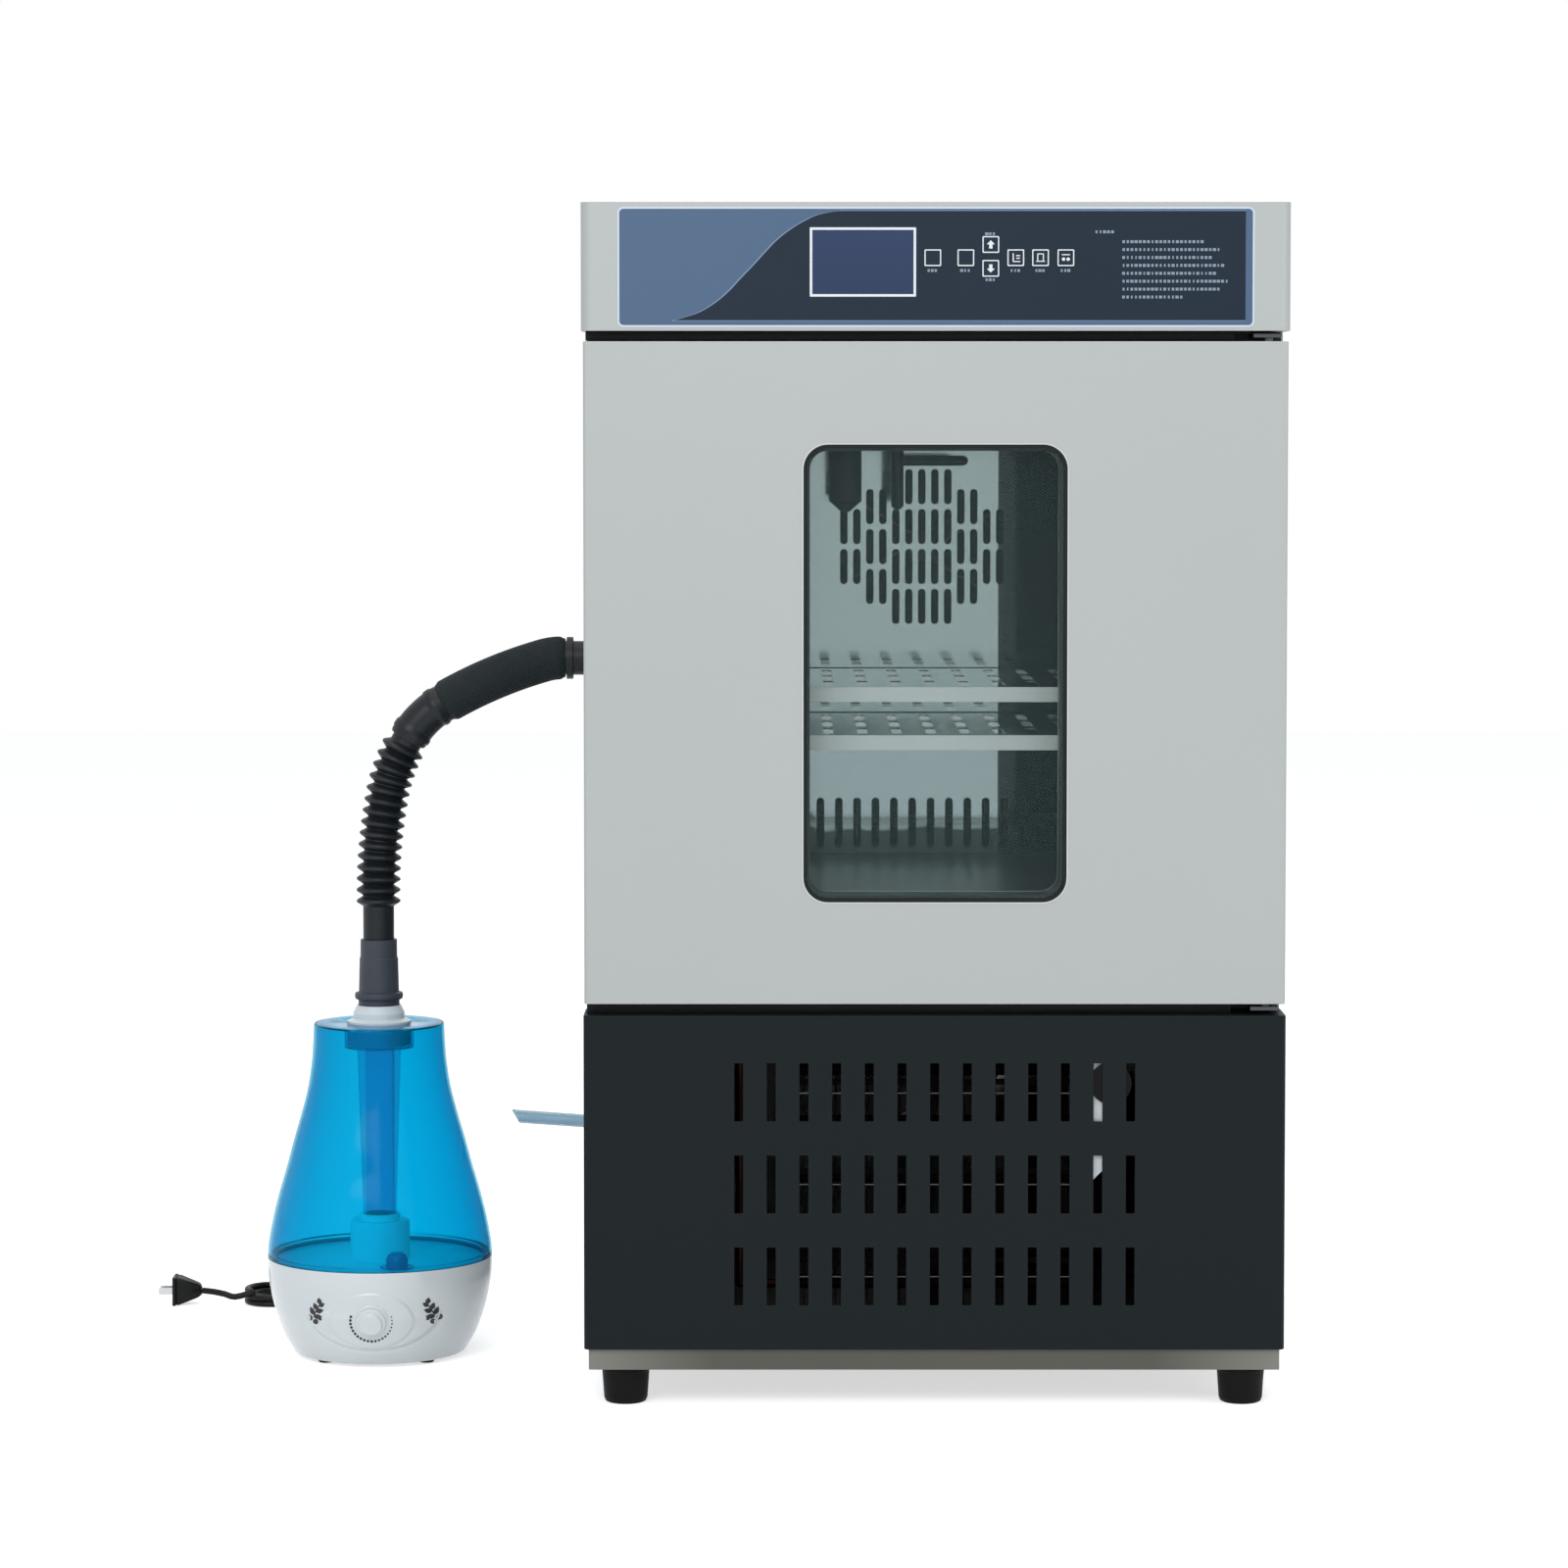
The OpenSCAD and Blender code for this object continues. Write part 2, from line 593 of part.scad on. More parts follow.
module refrigerant_pipes() {
  color("#b3653a") {
    // Suction line: compressor top, up the back, into the duct.
    translate([comp_x + 46, comp_y, panel_z + 190.2]) cylinder(d = 8, h = 49.8);
    corner(comp_x + 46, comp_y, panel_z + 240);
    rod_y(comp_x + 46, panel_z + 240, comp_y, suction_y, 8);
    corner(comp_x + 46, suction_y, panel_z + 240);
    translate([pipe_x, suction_y, panel_z + 240]) cylinder(d = 8, h = pipe_heights[0] - panel_z - 240);
    corner(pipe_x, suction_y, pipe_heights[0]);
    rod_y(pipe_x, pipe_heights[0], duct_back_y - 1, suction_y, 8);
    // Liquid line: condenser outlet at the left front, under the chamber, up the back.
    rod_x(liquid_x, -cond_x - 1.1, cond_y + 18, pipe_low_z, 8);
    corner(liquid_x, cond_y + 18, pipe_low_z);
    translate([liquid_x, cond_y + 18, pipe_low_z]) cylinder(d = 8, h = pipe_over_z - pipe_low_z);
    corner(liquid_x, cond_y + 18, pipe_over_z);
    rod_y(liquid_x, pipe_over_z, cond_y + 18, liquid_y, 8);
    corner(liquid_x, liquid_y, pipe_over_z);
    rod_x(liquid_x, pipe_x, liquid_y, pipe_over_z, 8);
    corner(pipe_x, liquid_y, pipe_over_z);
    translate([pipe_x, liquid_y, pipe_over_z]) cylinder(d = 8, h = pipe_heights[1] - pipe_over_z);
    corner(pipe_x, liquid_y, pipe_heights[1]);
    rod_y(pipe_x, pipe_heights[1], duct_back_y - 1, liquid_y, 8);
    // Discharge line: compressor side to the condenser.
    rod_y(comp_x + 26, pipe_high_z, cond_y + 36, comp_y - 10, 8);
    corner(comp_x + 26, cond_y + 36, pipe_high_z);
    rod_x(cond_x + 1.1, comp_x + 26, cond_y + 36, pipe_high_z, 8);
    corner(comp_x + 26, comp_y - 10, pipe_high_z);
    translate([comp_x + 26, comp_y - 10, panel_z + 191.6]) cylinder(d = 8, h = pipe_high_z - panel_z - 191.6);
  }
}

module corner(x, y, z) {
  translate([x, y, z]) sphere(d = 8, $fn = 40);
}

module shelf_rails() {
  color("#9fa5a6") for (s = [-1, 1], top = [shelf_upper_z, shelf_lower_z]) {
    translate([s > 0 ? chamber_w / 2 - 13 : -chamber_w / 2, shelf_y - 6, top - shelf_h - 1.5 - slide_gap])
      cube([13, shelf_d + 8, 1.5]);
    translate([s > 0 ? chamber_w / 2 - 1.2 : -chamber_w / 2, shelf_y - 6, top - shelf_h - 10])
      cube([1.2, shelf_d + 8, 9]);
  }
}

module shelf(top) {
  color("#b4baba") difference() {
    translate([-shelf_w / 2, shelf_y, top - shelf_h]) cube([shelf_w, shelf_d, shelf_h]);
    translate([-shelf_w / 2 + 1.2, shelf_y + 1.2, top - shelf_h - e])
      cube([shelf_w - 2.4, shelf_d - 2.4, shelf_h - 1.2 + e]);
    translate([0, shelf_y + shelf_d / 2, top - 3]) linear_extrude(5)
      for (i = [-6 : 6], k = [-1 : 1]) translate([i * shelf_w / 14.4, k * shelf_d / 3.3]) slot(9, 78);
  }
}

module shelf_upper() { shelf(shelf_upper_z); }

module shelf_lower() { shelf(shelf_lower_z); }

module humidity_sensor() {
  color("#22262a") translate([sensor_x, sensor_y, 0]) rotate_extrude() polygon([
    [0, sensor_tip_z], [4, sensor_tip_z + 0.6], [sensor_d / 2, sensor_tip_z + 10],
    [sensor_d / 2, sensor_top_z], [0, sensor_top_z]]);
}

module temperature_probe() {
  color("#33383b") {
    translate([probe_x, sensor_y, 0]) rotate_extrude() polygon([
      [0, probe_tip_z], [probe_d / 2 - 3, probe_tip_z + 0.5], [probe_d / 2, probe_tip_z + 3.5], [probe_d / 2, sensor_top_z],
      [0, sensor_top_z]]);
    // The bulb lies across, clipped to the probe stem.
    rod_x(probe_x, 30, sensor_y, bulb_z, 10);
    translate([30, sensor_y, bulb_z]) sphere(d = 10, $fn = 40);
  }
}

module humidity_port() {
  x0 = -cabinet_w / 2 - 33;
  x1 = -chamber_w / 2 + 4;
  color("#2d3236") difference() {
    union() {
      rod_x(x0, x1, mist_y, port_z, port_d);
      rod_x(-cabinet_w / 2 - 3, -cabinet_w / 2, mist_y, port_z, port_d + 9);
      rod_x(-cabinet_w / 2 - 25.5, -cabinet_w / 2 - 20, mist_y, port_z, 38);
    }
    rod_x(x0 - e, x1 + e, mist_y, port_z, hose_bore);
  }
}

drain_bend_x = -chamber_w / 2 + 2;
drain_slope = 4;

// The spout's outer run, which rises a little to its open end.
module spout_run(d, l) {
  translate([drain_bend_x, drain_y, drain_z - 2]) rotate([0, drain_slope - 90, 0]) cylinder(d = d, h = l);
}

module drain_spout() {
  color("#b9d3df") difference() {
    union() {
      spout_run(drain_d, cabinet_w / 2 - chamber_w / 2 + 86);
      translate([drain_bend_x, drain_y, drain_z - 2]) sphere(d = drain_d, $fn = 48);
      translate([drain_bend_x, drain_y, drain_z - 2]) cylinder(d = drain_d, h = insul_z0 - 16 - drain_z);
      translate([drain_bend_x, drain_y, insul_z0 - 18]) sphere(d = drain_d, $fn = 48);
      rod_x(drain_bend_x, drain_x, drain_y, insul_z0 - 18, drain_d);
      translate([drain_x, drain_y, insul_z0 - 18]) sphere(d = drain_d, $fn = 48);
      translate([drain_x, drain_y, insul_z0 - 18])
        cylinder(d = drain_d, h = chamber_z - insul_z0 + 18 - 0.2);
    }
    spout_run(8, cabinet_w / 2 - chamber_w / 2 + 90);
    // Outer end cut at a slant.
    translate([-cabinet_w / 2 - 82, drain_y, drain_z + 4]) rotate([0, -30, 0])
      cube([16, 30, 60], center = true);
  }
}

module console_housing() {
  w = cabinet_w + 2 * console_over;
  t = console_wall;
  color("#c4c6c0") {
    difference() {
      fronted(w, front_y, body_y, console_z, cabinet_h, console_r);
      fronted(w - 2 * t, front_y + t, body_y + e, console_z + t, cabinet_h - t, console_r - t);
      upright(0, front_y - e, overlay_mid_z, overlay_t + e)
        rounded(overlay_w + 2 * fit, overlay_h + 2 * fit, overlay_r + fit);
      upright(0, front_y - e, 0, t + 2 * e) panel_cuts();
    }
    // Pillars for the circuit board.
    for (x = [-114, 122], z = [display_z - 34, display_z + 34])
      rod_y(x, z, front_y + t - 0.5, board_y, 7);
  }
}

board_y = front_y + 18;

module panel_cuts() {
  translate([display_x, display_z])
    square([display_w + 2 * fit, display_h + 2 * fit], center = true);
  for (p = key_spots) translate(p)
    square([key_w + 2 * key_gap, key_w + 2 * key_gap], center = true);
}

module control_panel() {
  color("#2b3a4a") upright(0, front_y, 0, overlay_t) difference() {
    translate([0, overlay_mid_z]) rounded(overlay_w, overlay_h, overlay_r);
    panel_cuts();
  }
}

module display() {
  color("#424e7c") upright(display_x, front_y + 0.2, display_z, board_y - front_y - 0.2)
    square([display_w, display_h], center = true);
}

module circuit_board() {
  color("#2f6b45") {
    upright(4, board_y, display_z, 1.6) square([256, 84], center = true);
    // One switch behind every key, clear of it by more than its travel.
    for (p = key_spots) upright(p[0], key_back_y + key_travel + 0.3, p[1],
      board_y - key_back_y - key_travel - 0.3 + 0.1) square([6, 6], center = true);
    upright(70, board_y + 1.5, display_z + 10, 12) square([60, 22], center = true);
  }
}

key_back_y = front_y + console_wall + 1.3;

module key(i) {
  color("#2b3a4a") translate([key_spots[i][0], 0, key_spots[i][1]]) {
    upright(0, front_y - 0.6, 0, console_wall + 1.9) square([key_w, key_w], center = true);
    upright(0, front_y + console_wall + 0.1, 0, 1.2) square([key_w + 2.6, key_w + 2.6], center = true);
  }
}

module key_1() { key(0); }
module key_2() { key(1); }
module key_3() { key(2); }
module key_4() { key(3); }
module key_5() { key(4); }
module key_6() { key(5); }
module key_7() { key(6); }

module mains_inlet() {
  color("#17181a") difference() {
    union() {
      upright(inlet_x, back_y - 24, inlet_z, 24) square([30, 24], center = true);
      upright(inlet_x, back_y, inlet_z, 3) rounded(50, 32, 4);
    }
    upright(inlet_x, back_y - 16, inlet_z, 24) square([24, 16], center = true);
  }
}

module screws() {
  color("#b9bcbe") {
    for (p = rear_screws()) {
      rod_y(p[0], p[1], back_y - 8, back_y + e, 3.6);
      rod_y(p[0], p[1], back_y, back_y + 2.2, 8);
    }
    for (p = cover_screws) {
      rod_y(p[0], p[1], cover_y - e, cover_y + 8, 3.6);
      rod_y(p[0], p[1], cover_y - 2.2, cover_y, 8);
    }
  }
}

module door_shell() {
  color("#c4c6c0") difference() {
    union() {
      difference() {
        fronted(cabinet_w, front_y, door_back_y, door_z, door_top_z, 3);
        fronted(cabinet_w - 2 * sheet, front_y + sheet, door_back_y + e,
                door_z + sheet, door_top_z - sheet, 1.5);
        upright(0, front_y - e, door_mid_z, sheet + 2 * e) rounded(window_w, window_h, window_r);
      }
      for (z = [door_z, door_top_z - 22]) translate([hinge_x - 11, hinge_y - 11, z])
        cube([22, 22, 22]);
    }
    for (z = [door_z - e, door_top_z - 16]) translate([hinge_x, hinge_y, z])
      cylinder(d = pin_d + 2 * run_gap, h = 16 + e);
  }
}

module door_liner() {
  color("#b9bdbc") upright(0, door_back_y, door_mid_z, 2) difference() {
    rounded(cabinet_w - 4, door_h - 4, 3);
    rounded(clear_w, clear_h, window_r - seal_w - spacer_w);
  }
}

module door_gasket() {
  color("#1c1d1f") upright(0, door_back_y + 2, door_mid_z, front_d - door_t - 2 - slide_gap)
    difference() {
      rounded(chamber_w + 56, chamber_h + 56, 14);
      rounded(chamber_w + 24, chamber_h + 24, 6);
    }
}

module window_seal() {
  color("#101113") upright(0, front_y - 0.6, door_mid_z, 6) difference() {
    rounded(window_w - 2 * fit, window_h - 2 * fit, window_r - fit);
    rounded(window_w - 2 * seal_w, window_h - 2 * seal_w, window_r - seal_w);
  }
}

module outer_glass() {
  color("#9fb6b8", 0.3) upright(0, front_y + 0.6, door_mid_z, glass_t)
    rounded(glass_w, glass_h, window_r - seal_w - fit);
}

module window_frame() {
  y0 = front_y + 0.6 + glass_t;
  color("#50585c") upright(0, y0, door_mid_z, door_back_y - glass_t - y0) difference() {
    rounded(glass_w, glass_h, window_r - seal_w - fit);
    rounded(clear_w, clear_h, window_r - seal_w - spacer_w);
  }
}

module inner_glass() {
  color("#9fb6b8", 0.3) upright(0, door_back_y - glass_t, door_mid_z, glass_t)
    rounded(glass_w, glass_h, window_r - seal_w - fit);
}

// Point of the hose centreline, as [x, z, turn], at the distance s from its first bend,
// followed from bend i that starts at x, z with the turn t.
function hose_at(s, i = 0, x = hose_x0, z = port_z, t = 0) =
  s <= 0 && i == 0 ? [x - s, z, 0] :
  i == len(hose_bends) ? [x, z - s, 90] :
  let (r = hose_bends[i][0], l = r * hose_bends[i][1] * PI / 180)
  s < l ? let (a = t + s / r * 180 / PI) [x - r * (sin(a) - sin(t)), z - r * (cos(t) - cos(a)), a] :
  let (a = t + hose_bends[i][1])
  hose_at(s - l, i + 1, x - r * (sin(a) - sin(t)), z - r * (cos(t) - cos(a)), a);
function bends_l(i) = i == 0 ? 0 : bends_l(i - 1) + hose_bends[i - 1][0] * hose_bends[i - 1][1] * PI / 180;
// Length of the bent part, and the height at which the straight foot begins.
bent_l = bends_l(len(hose_bends));
bent_z = hose_at(bent_l)[1];

// Wall of a hose: outside and inside are lists of [distance, radius], start to end.
hose_sides = 28;
module hose_wall(outside, inside) {
  loop = concat(outside, [for (i = [len(inside) - 1 : -1 : 0]) inside[i]]);
  n = len(loop);
  rings = [for (q = loop) let (h = hose_at(q[0]), c = cos(h[2]), z = sin(h[2]))
    for (k = [0 : hose_sides - 1]) let (u = q[1] * cos(k * 360 / hose_sides), v = q[1] * sin(k * 360 / hose_sides))
      [h[0] + v * z, mist_y + u, h[1] - v * c]];
  faces = [for (i = [0 : n - 1], k = [0 : hose_sides - 1])
    let (j = (i + 1) % n, m = (k + 1) % hose_sides)
      [i * hose_sides + k, j * hose_sides + k, j * hose_sides + m, i * hose_sides + m]];
  polyhedron(points = rings, faces = faces, convexity = 8);
}

sleeve_start = -3;
sleeve_l = bends_l(2);
collar_l = bends_l(3);

module hose_sleeve() {
  color("#2e3538") hose_wall(
    [for (i = [0 : 9]) [sleeve_start + (sleeve_l - sleeve_start) * i / 9, sleeve_d / 2]],
    [for (i = [0 : 9]) [sleeve_start + (sleeve_l - sleeve_start) * i / 9, port_d / 2 + 0.4]]);
}

module hose_collar() {
  color("#2b3034") hose_wall(
    [for (i = [0 : 4]) [sleeve_l + (collar_l - sleeve_l) * i / 4, 17]],
    [for (i = [0 : 4]) [sleeve_l + (collar_l - sleeve_l) * i / 4, hose_d / 2 + 0.4]]);
}

module corrugated_hose() {
  top = collar_l - 12;
  foot = bent_l + bent_z - hose_foot_z;
  ridge_end = bent_l + bent_z - plain_top_z;
  step = (ridge_end - collar_l) / (hose_ridges + 0.5);
  ro = hose_d / 2;
  rr = hose_ridge_d / 2;
  color("#32373b") hose_wall(
    concat([[top, ro]],
      [for (i = [1 : hose_ridges]) let (m = collar_l + i * step)
        each [[m - 3, ro], [m - 1.5, rr], [m + 1.5, rr], [m + 3, ro]]],
      [[foot, ro]]),
    [for (i = [0 : 11]) [top + (foot - top) * i / 11, hose_bore / 2]]);
}

module hose_cuff() {
  color("#55585d") translate([-mist_x, mist_y, 0]) rotate_extrude() polygon([
    [hose_d / 2 + fit, cuff_top_z], [16.5, cuff_top_z], [16.7, 362], [17.4, 361], [18.2, 330.5],
    [21.3, 329.5], [21.8, 328], [21.8, 325.5], [21, 324], [18.6, 323.5], [18.6, cuff_z],
    [nozzle_r + fit, cuff_z], [nozzle_r + fit, 352], [12.5, 352], [12.5, hose_foot_z - fit],
    [hose_d / 2 + fit, hose_foot_z - fit]]);
}

nozzle_r = 15.5;
well_r = 29;
well_d = 20;

module nozzle() {
  z0 = tank_top_z - well_d;
  color("#eef0f1") translate([-mist_x, mist_y, 0]) rotate_extrude() polygon([
    [12.5, z0], [well_r - slide_gap, z0], [well_r - slide_gap, tank_top_z + 1.5], [23.5, tank_top_z + 4],
    [23.5, tank_top_z + 9], [20, cuff_z - fit], [nozzle_r, cuff_z - fit], [nozzle_r, 351], [12.5, 351]]);
}

// The same smooth curve through all the outline points, n steps between two of them.
function curve(p, n) = concat(
  [for (i = [0 : len(p) - 2], k = [0 : n - 1]) curve_at(p, i, k / n)], [p[len(p) - 1]]);
function curve_at(p, i, t) =
  let (a = p[max(i - 1, 0)], b = p[i], c = p[i + 1], d = p[min(i + 2, len(p) - 1)])
  0.5 * ((2 * b) + (c - a) * t + (2 * a - 5 * b + 4 * c - d) * t * t
    + (3 * b - a - 3 * c + d) * t * t * t);

module tank_shell() {
  outer = curve(tank_points, 3);
  floor_z = seam_z - 5;
  color("#1fa3d8", 0.6) translate([-mist_x, mist_y, 0]) difference() {
    union() {
      difference() {
        rotate_extrude() polygon(concat(
          [[0, tank_top_z]], outer, [[mist_r - 5, seam_z], [mist_r - 5, floor_z], [0, floor_z]]));
        rotate_extrude() polygon(concat(
          [[well_r + tank_wall, tank_top_z - tank_wall]],
          [for (p = outer) if (p[1] < tank_top_z - tank_wall && p[1] > seam_z + 4)
            [p[0] - tank_wall, p[1]]],
          [[mist_r - tank_wall, seam_z + 3], [mist_r - 5 - tank_wall, seam_z + 3],
           [mist_r - 5 - tank_wall, floor_z + tank_wall],
           [0, floor_z + tank_wall], [0, tank_top_z - well_d - tank_wall],
           [well_r + tank_wall, tank_top_z - well_d - tank_wall]]));
      }
      cylinder(r = 27, h = 122, $fn = 96);
      cylinder(r = 18, h = 128, $fn = 96);
    }
    translate([0, 0, -e]) cylinder(r = 200, h = floor_z + e);
    translate([0, 0, floor_z - e]) cylinder(r = 24.5, h = 122 - floor_z - tank_wall + e);
    translate([0, 0, floor_z - e]) cylinder(r = 15, h = 100);
    translate([0, 0, tank_top_z - well_d]) cylinder(r = well_r, h = 100);
    translate([0, 0, tank_top_z - well_d - 10]) cylinder(r = 20, h = 50);
    // Seat of the mist tube's collar.
    translate([0, 0, tank_top_z - well_d - 1.7]) cylinder(r = 22.1, h = 10);
    translate([cap_x, cap_y, floor_z - e]) cylinder(r = cap_r + 0.05, h = 10);
  }
}

cap_x = 20;
cap_y = -58;
cap_r = 15;

module tank_cap() {
  color("#135f9c") translate([-mist_x + cap_x, mist_y + cap_y, 0]) rotate_extrude() polygon([
    [0, seam_z - 6.5], [cap_r, seam_z - 6.5], [cap_r, 89], [10, 89], [10, 95], [8.5, 99],
    [5, 101.5], [0, 102]]);
}

module mist_tube() {
  z1 = tank_top_z - well_d;
  color("#1b8fc4", 0.7) translate([-mist_x, mist_y, 0]) rotate_extrude() polygon([
    [22, z1 - 0.1], [12.5, z1 - 0.1], [12.5, 122], [14.8, 122], [19.8, z1 - tank_wall - 0.2],
    [19.8, z1 - 1.6], [22, z1 - 1.6]]);
}

module humidifier_base() {
  outer = curve(base_points, 2);
  color("#edeff0") difference() {
    union() {
      translate([-mist_x, mist_y, 0]) {
        difference() {
          rotate_extrude() polygon(concat([[0, seam_z]], outer, [[74, 3.5], [0, 3.5]]));
          rotate_extrude() polygon([[0, 6], [74, 6], [84, 20], [90, 36], [94, 50], [97.5, 66],
            [98.6, 78], [0, 78]]);
        }
        for (a = [45 : 90 : 359]) rotate([0, 0, a]) translate([64, 0, 0]) cylinder(d = 14, h = 5, $fn = 40);
      }
      dial_frame() translate([0, 0, dial_reach - 12]) cylinder(r = dial_d / 2 + 4, h = 12);
    }
    translate([-mist_x, mist_y, 0]) {
      translate([0, 0, seam_z - 5.3]) cylinder(r = mist_r - 5 + 0.35, h = 20);
      translate([0, 0, 70]) cylinder(r = 52 + fit, h = 40);
      // Water passage under the tank cap.
      translate([cap_x, cap_y, seam_z - 8]) cylinder(r = cap_r + 1, h = 20);
    }
    dial_frame() translate([0, 0, dial_reach]) cylinder(r = dial_d / 2 + 4, h = 30);
    dial_frame() translate([0, 0, dial_reach - 17]) cylinder(d = 6 + 2 * run_gap, h = 60);
    translate([-mist_x, mist_y + 70, 15]) rotate([-90, 0, 0]) cylinder(d = cord_d + 2 * fit, h = 40);
  }
}

// Axis of the dial: out of the front of the humidifier and a little down.
module dial_frame() {
  translate([-mist_x, mist_y - dial_reach, dial_z]) rotate([90 + dial_tilt, 0, 0])
    translate([0, 0, -dial_reach]) children();
}

module dial() {
  color("#f4f5f6") dial_frame() {
    translate([0, 0, dial_reach + slide_gap]) cylinder(d = dial_d, h = 5);
    translate([0, 0, dial_reach + 5]) cylinder(d = dial_d - 7, h = 4);
    translate([0, 0, dial_reach - 16]) cylinder(d = 6, h = 20);
  }
}

module basin() {
  color("#e3e6e8") translate([-mist_x, mist_y, 0]) {
    difference() {
      union() {
        translate([0, 0, 50]) cylinder(r = 52, h = seam_z - 7 - 50);
        translate([0, 0, 44]) cylinder(r = 16, h = 6);
      }
      translate([0, 0, 52.5]) cylinder(r = 49.5, h = 60);
    }
    translate([0, 0, 51]) cylinder(r = 10, h = 4);
    translate([0, 0, 6]) cylinder(r = 9, h = 39);
  }
}

// Round cord through the given points, swept in one piece.
function cord_frame(p, i) =
  let (a = p[max(i - 1, 0)], b = p[min(i + 1, len(p) - 1)], t = (b - a) / norm(b - a),
       side = cross([0, 0, 1], t), s = side / norm(side)) [s, cross(t, s)];
module cord_tube(p, d, sides) {
  n = len(p);
  rings = [for (i = [0 : n - 1]) let (f = cord_frame(p, i))
    for (k = [0 : sides - 1]) p[i] + d / 2 * (cos(k * 360 / sides) * f[0] + sin(k * 360 / sides) * f[1])];
  faces = concat(
    [[for (k = [0 : sides - 1]) k]],
    [for (i = [0 : n - 2], k = [0 : sides - 1]) let (m = (k + 1) % sides)
      [i * sides + k, (i + 1) * sides + k, (i + 1) * sides + m, i * sides + m]],
    [[for (k = [sides - 1 : -1 : 0]) (n - 1) * sides + k]]);
  polyhedron(points = rings, faces = faces, convexity = 4);
}

function spread(p, n) = concat(
  [for (i = [0 : len(p) - 2], k = [0 : n - 1]) curve_at(p, i, k / n)], [p[len(p) - 1]]);

module power_cord() {
  color("#141516") cord_tube(spread(cord_points, 2), cord_d, 12);
}

module cord_hank() {
  color("#141516") translate([hank_x, hank_y, 0]) linear_extrude(hank_h) difference() {
    rounded(hank_l, hank_w, hank_w / 2 - 0.01);
    rounded(hank_l - 2 * hank_band, hank_w - 2 * hank_band, hank_w / 2 - hank_band - 0.01);
  }
}

module plug() {
  color("#141516") {
    cord_tube(spread(lead_points, 2), cord_d, 12);
    translate([plug_x, plug_y, 0.2]) {
      translate([-12, -12, 0]) cube([24, 24, 27]);
      translate([11, 0, 13.5]) rotate([0, 90, 0]) cylinder(d1 = 14, d2 = 9, h = 10, $fn = 40);
      for (y = [-6, 6]) translate([-28, y - 0.75, 10]) cube([17, 1.5, 6.3]);
    }
  }
}

outer_casing();
rear_panel();
base_frame();
feet();
lower_front_panel();
chamber_liner();
insulation();
front_frame();
duct_cover();
heater();
evaporator();
fan_motor();
shelf_rails();
humidity_sensor();
temperature_probe();
humidity_port();
drain_spout();
console_housing();
control_panel();
display();
circuit_board();
hinge_brackets();
compressor();
condenser();
condenser_fan_motor();
refrigerant_pipes();
mains_inlet();
screws();
hose_sleeve();
hose_collar();
corrugated_hose();
hose_cuff();
humidifier_base();
basin();
power_cord();
cord_hank();
plug();
door_shell();
door_liner();
door_gasket();
window_seal();
window_frame();
outer_glass();
inner_glass();
shelf_upper();
shelf_lower();
circulation_fan();
condenser_fan();
key_1();
key_2();
key_3();
key_4();
key_5();
key_6();
key_7();
tank_shell();
mist_tube();
nozzle();
tank_cap();
dial();
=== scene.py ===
import json
import math

import bmesh
import bpy
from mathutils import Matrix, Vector


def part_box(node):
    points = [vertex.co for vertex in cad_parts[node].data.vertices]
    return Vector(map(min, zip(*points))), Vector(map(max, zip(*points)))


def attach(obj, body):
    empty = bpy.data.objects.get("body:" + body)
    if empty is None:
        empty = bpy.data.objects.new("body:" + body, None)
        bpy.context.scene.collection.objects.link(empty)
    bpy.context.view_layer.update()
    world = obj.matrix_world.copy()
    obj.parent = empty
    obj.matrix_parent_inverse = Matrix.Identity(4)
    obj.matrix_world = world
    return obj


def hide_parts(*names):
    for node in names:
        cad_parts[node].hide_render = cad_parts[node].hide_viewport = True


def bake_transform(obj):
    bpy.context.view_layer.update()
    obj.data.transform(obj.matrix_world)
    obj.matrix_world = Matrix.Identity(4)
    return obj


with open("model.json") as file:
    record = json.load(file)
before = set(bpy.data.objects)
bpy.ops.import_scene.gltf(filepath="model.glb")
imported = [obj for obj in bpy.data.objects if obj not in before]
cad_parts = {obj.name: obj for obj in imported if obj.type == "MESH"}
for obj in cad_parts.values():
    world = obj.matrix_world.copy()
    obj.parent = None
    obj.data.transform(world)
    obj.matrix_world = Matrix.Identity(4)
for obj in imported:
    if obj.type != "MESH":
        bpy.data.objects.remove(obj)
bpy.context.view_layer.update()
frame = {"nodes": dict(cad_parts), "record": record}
scene = bpy.context.scene
scene.view_settings.view_transform = "Standard"
print("frame loaded:", len(frame["nodes"]), "nodes")

cameraPlace = {"at": (-0.125, -4.360, 0.8382), "tiltDown": 3.1, "lens": 110.0, "shift": (-0.003, -0.0595)}

cameraData = bpy.data.cameras.new("incubatorCamera")
cameraData.lens = cameraPlace["lens"]
cameraData.sensor_width = 36
cameraData.sensor_fit = "HORIZONTAL"
cameraData.shift_x, cameraData.shift_y = cameraPlace["shift"]
cameraData.clip_end = 60
camera = bpy.data.objects.new("incubatorCamera", cameraData)
camera.location = cameraPlace["at"]
camera.rotation_euler = (math.radians(90 - cameraPlace["tiltDown"]), 0, 0)
scene.collection.objects.link(camera)
scene.camera = camera

finishes = {}  # materials by name, filled below


def mm(*values):
    return tuple(v / 1000 for v in values)


def screenColour(red, green, blue):
    # a colour as a screen shows it, made linear
    def one(v):
        v = v / 255
        return v / 12.92 if v <= 0.04045 else ((v + 0.055) / 1.055) ** 2.4
    return (one(red), one(green), one(blue), 1.0)


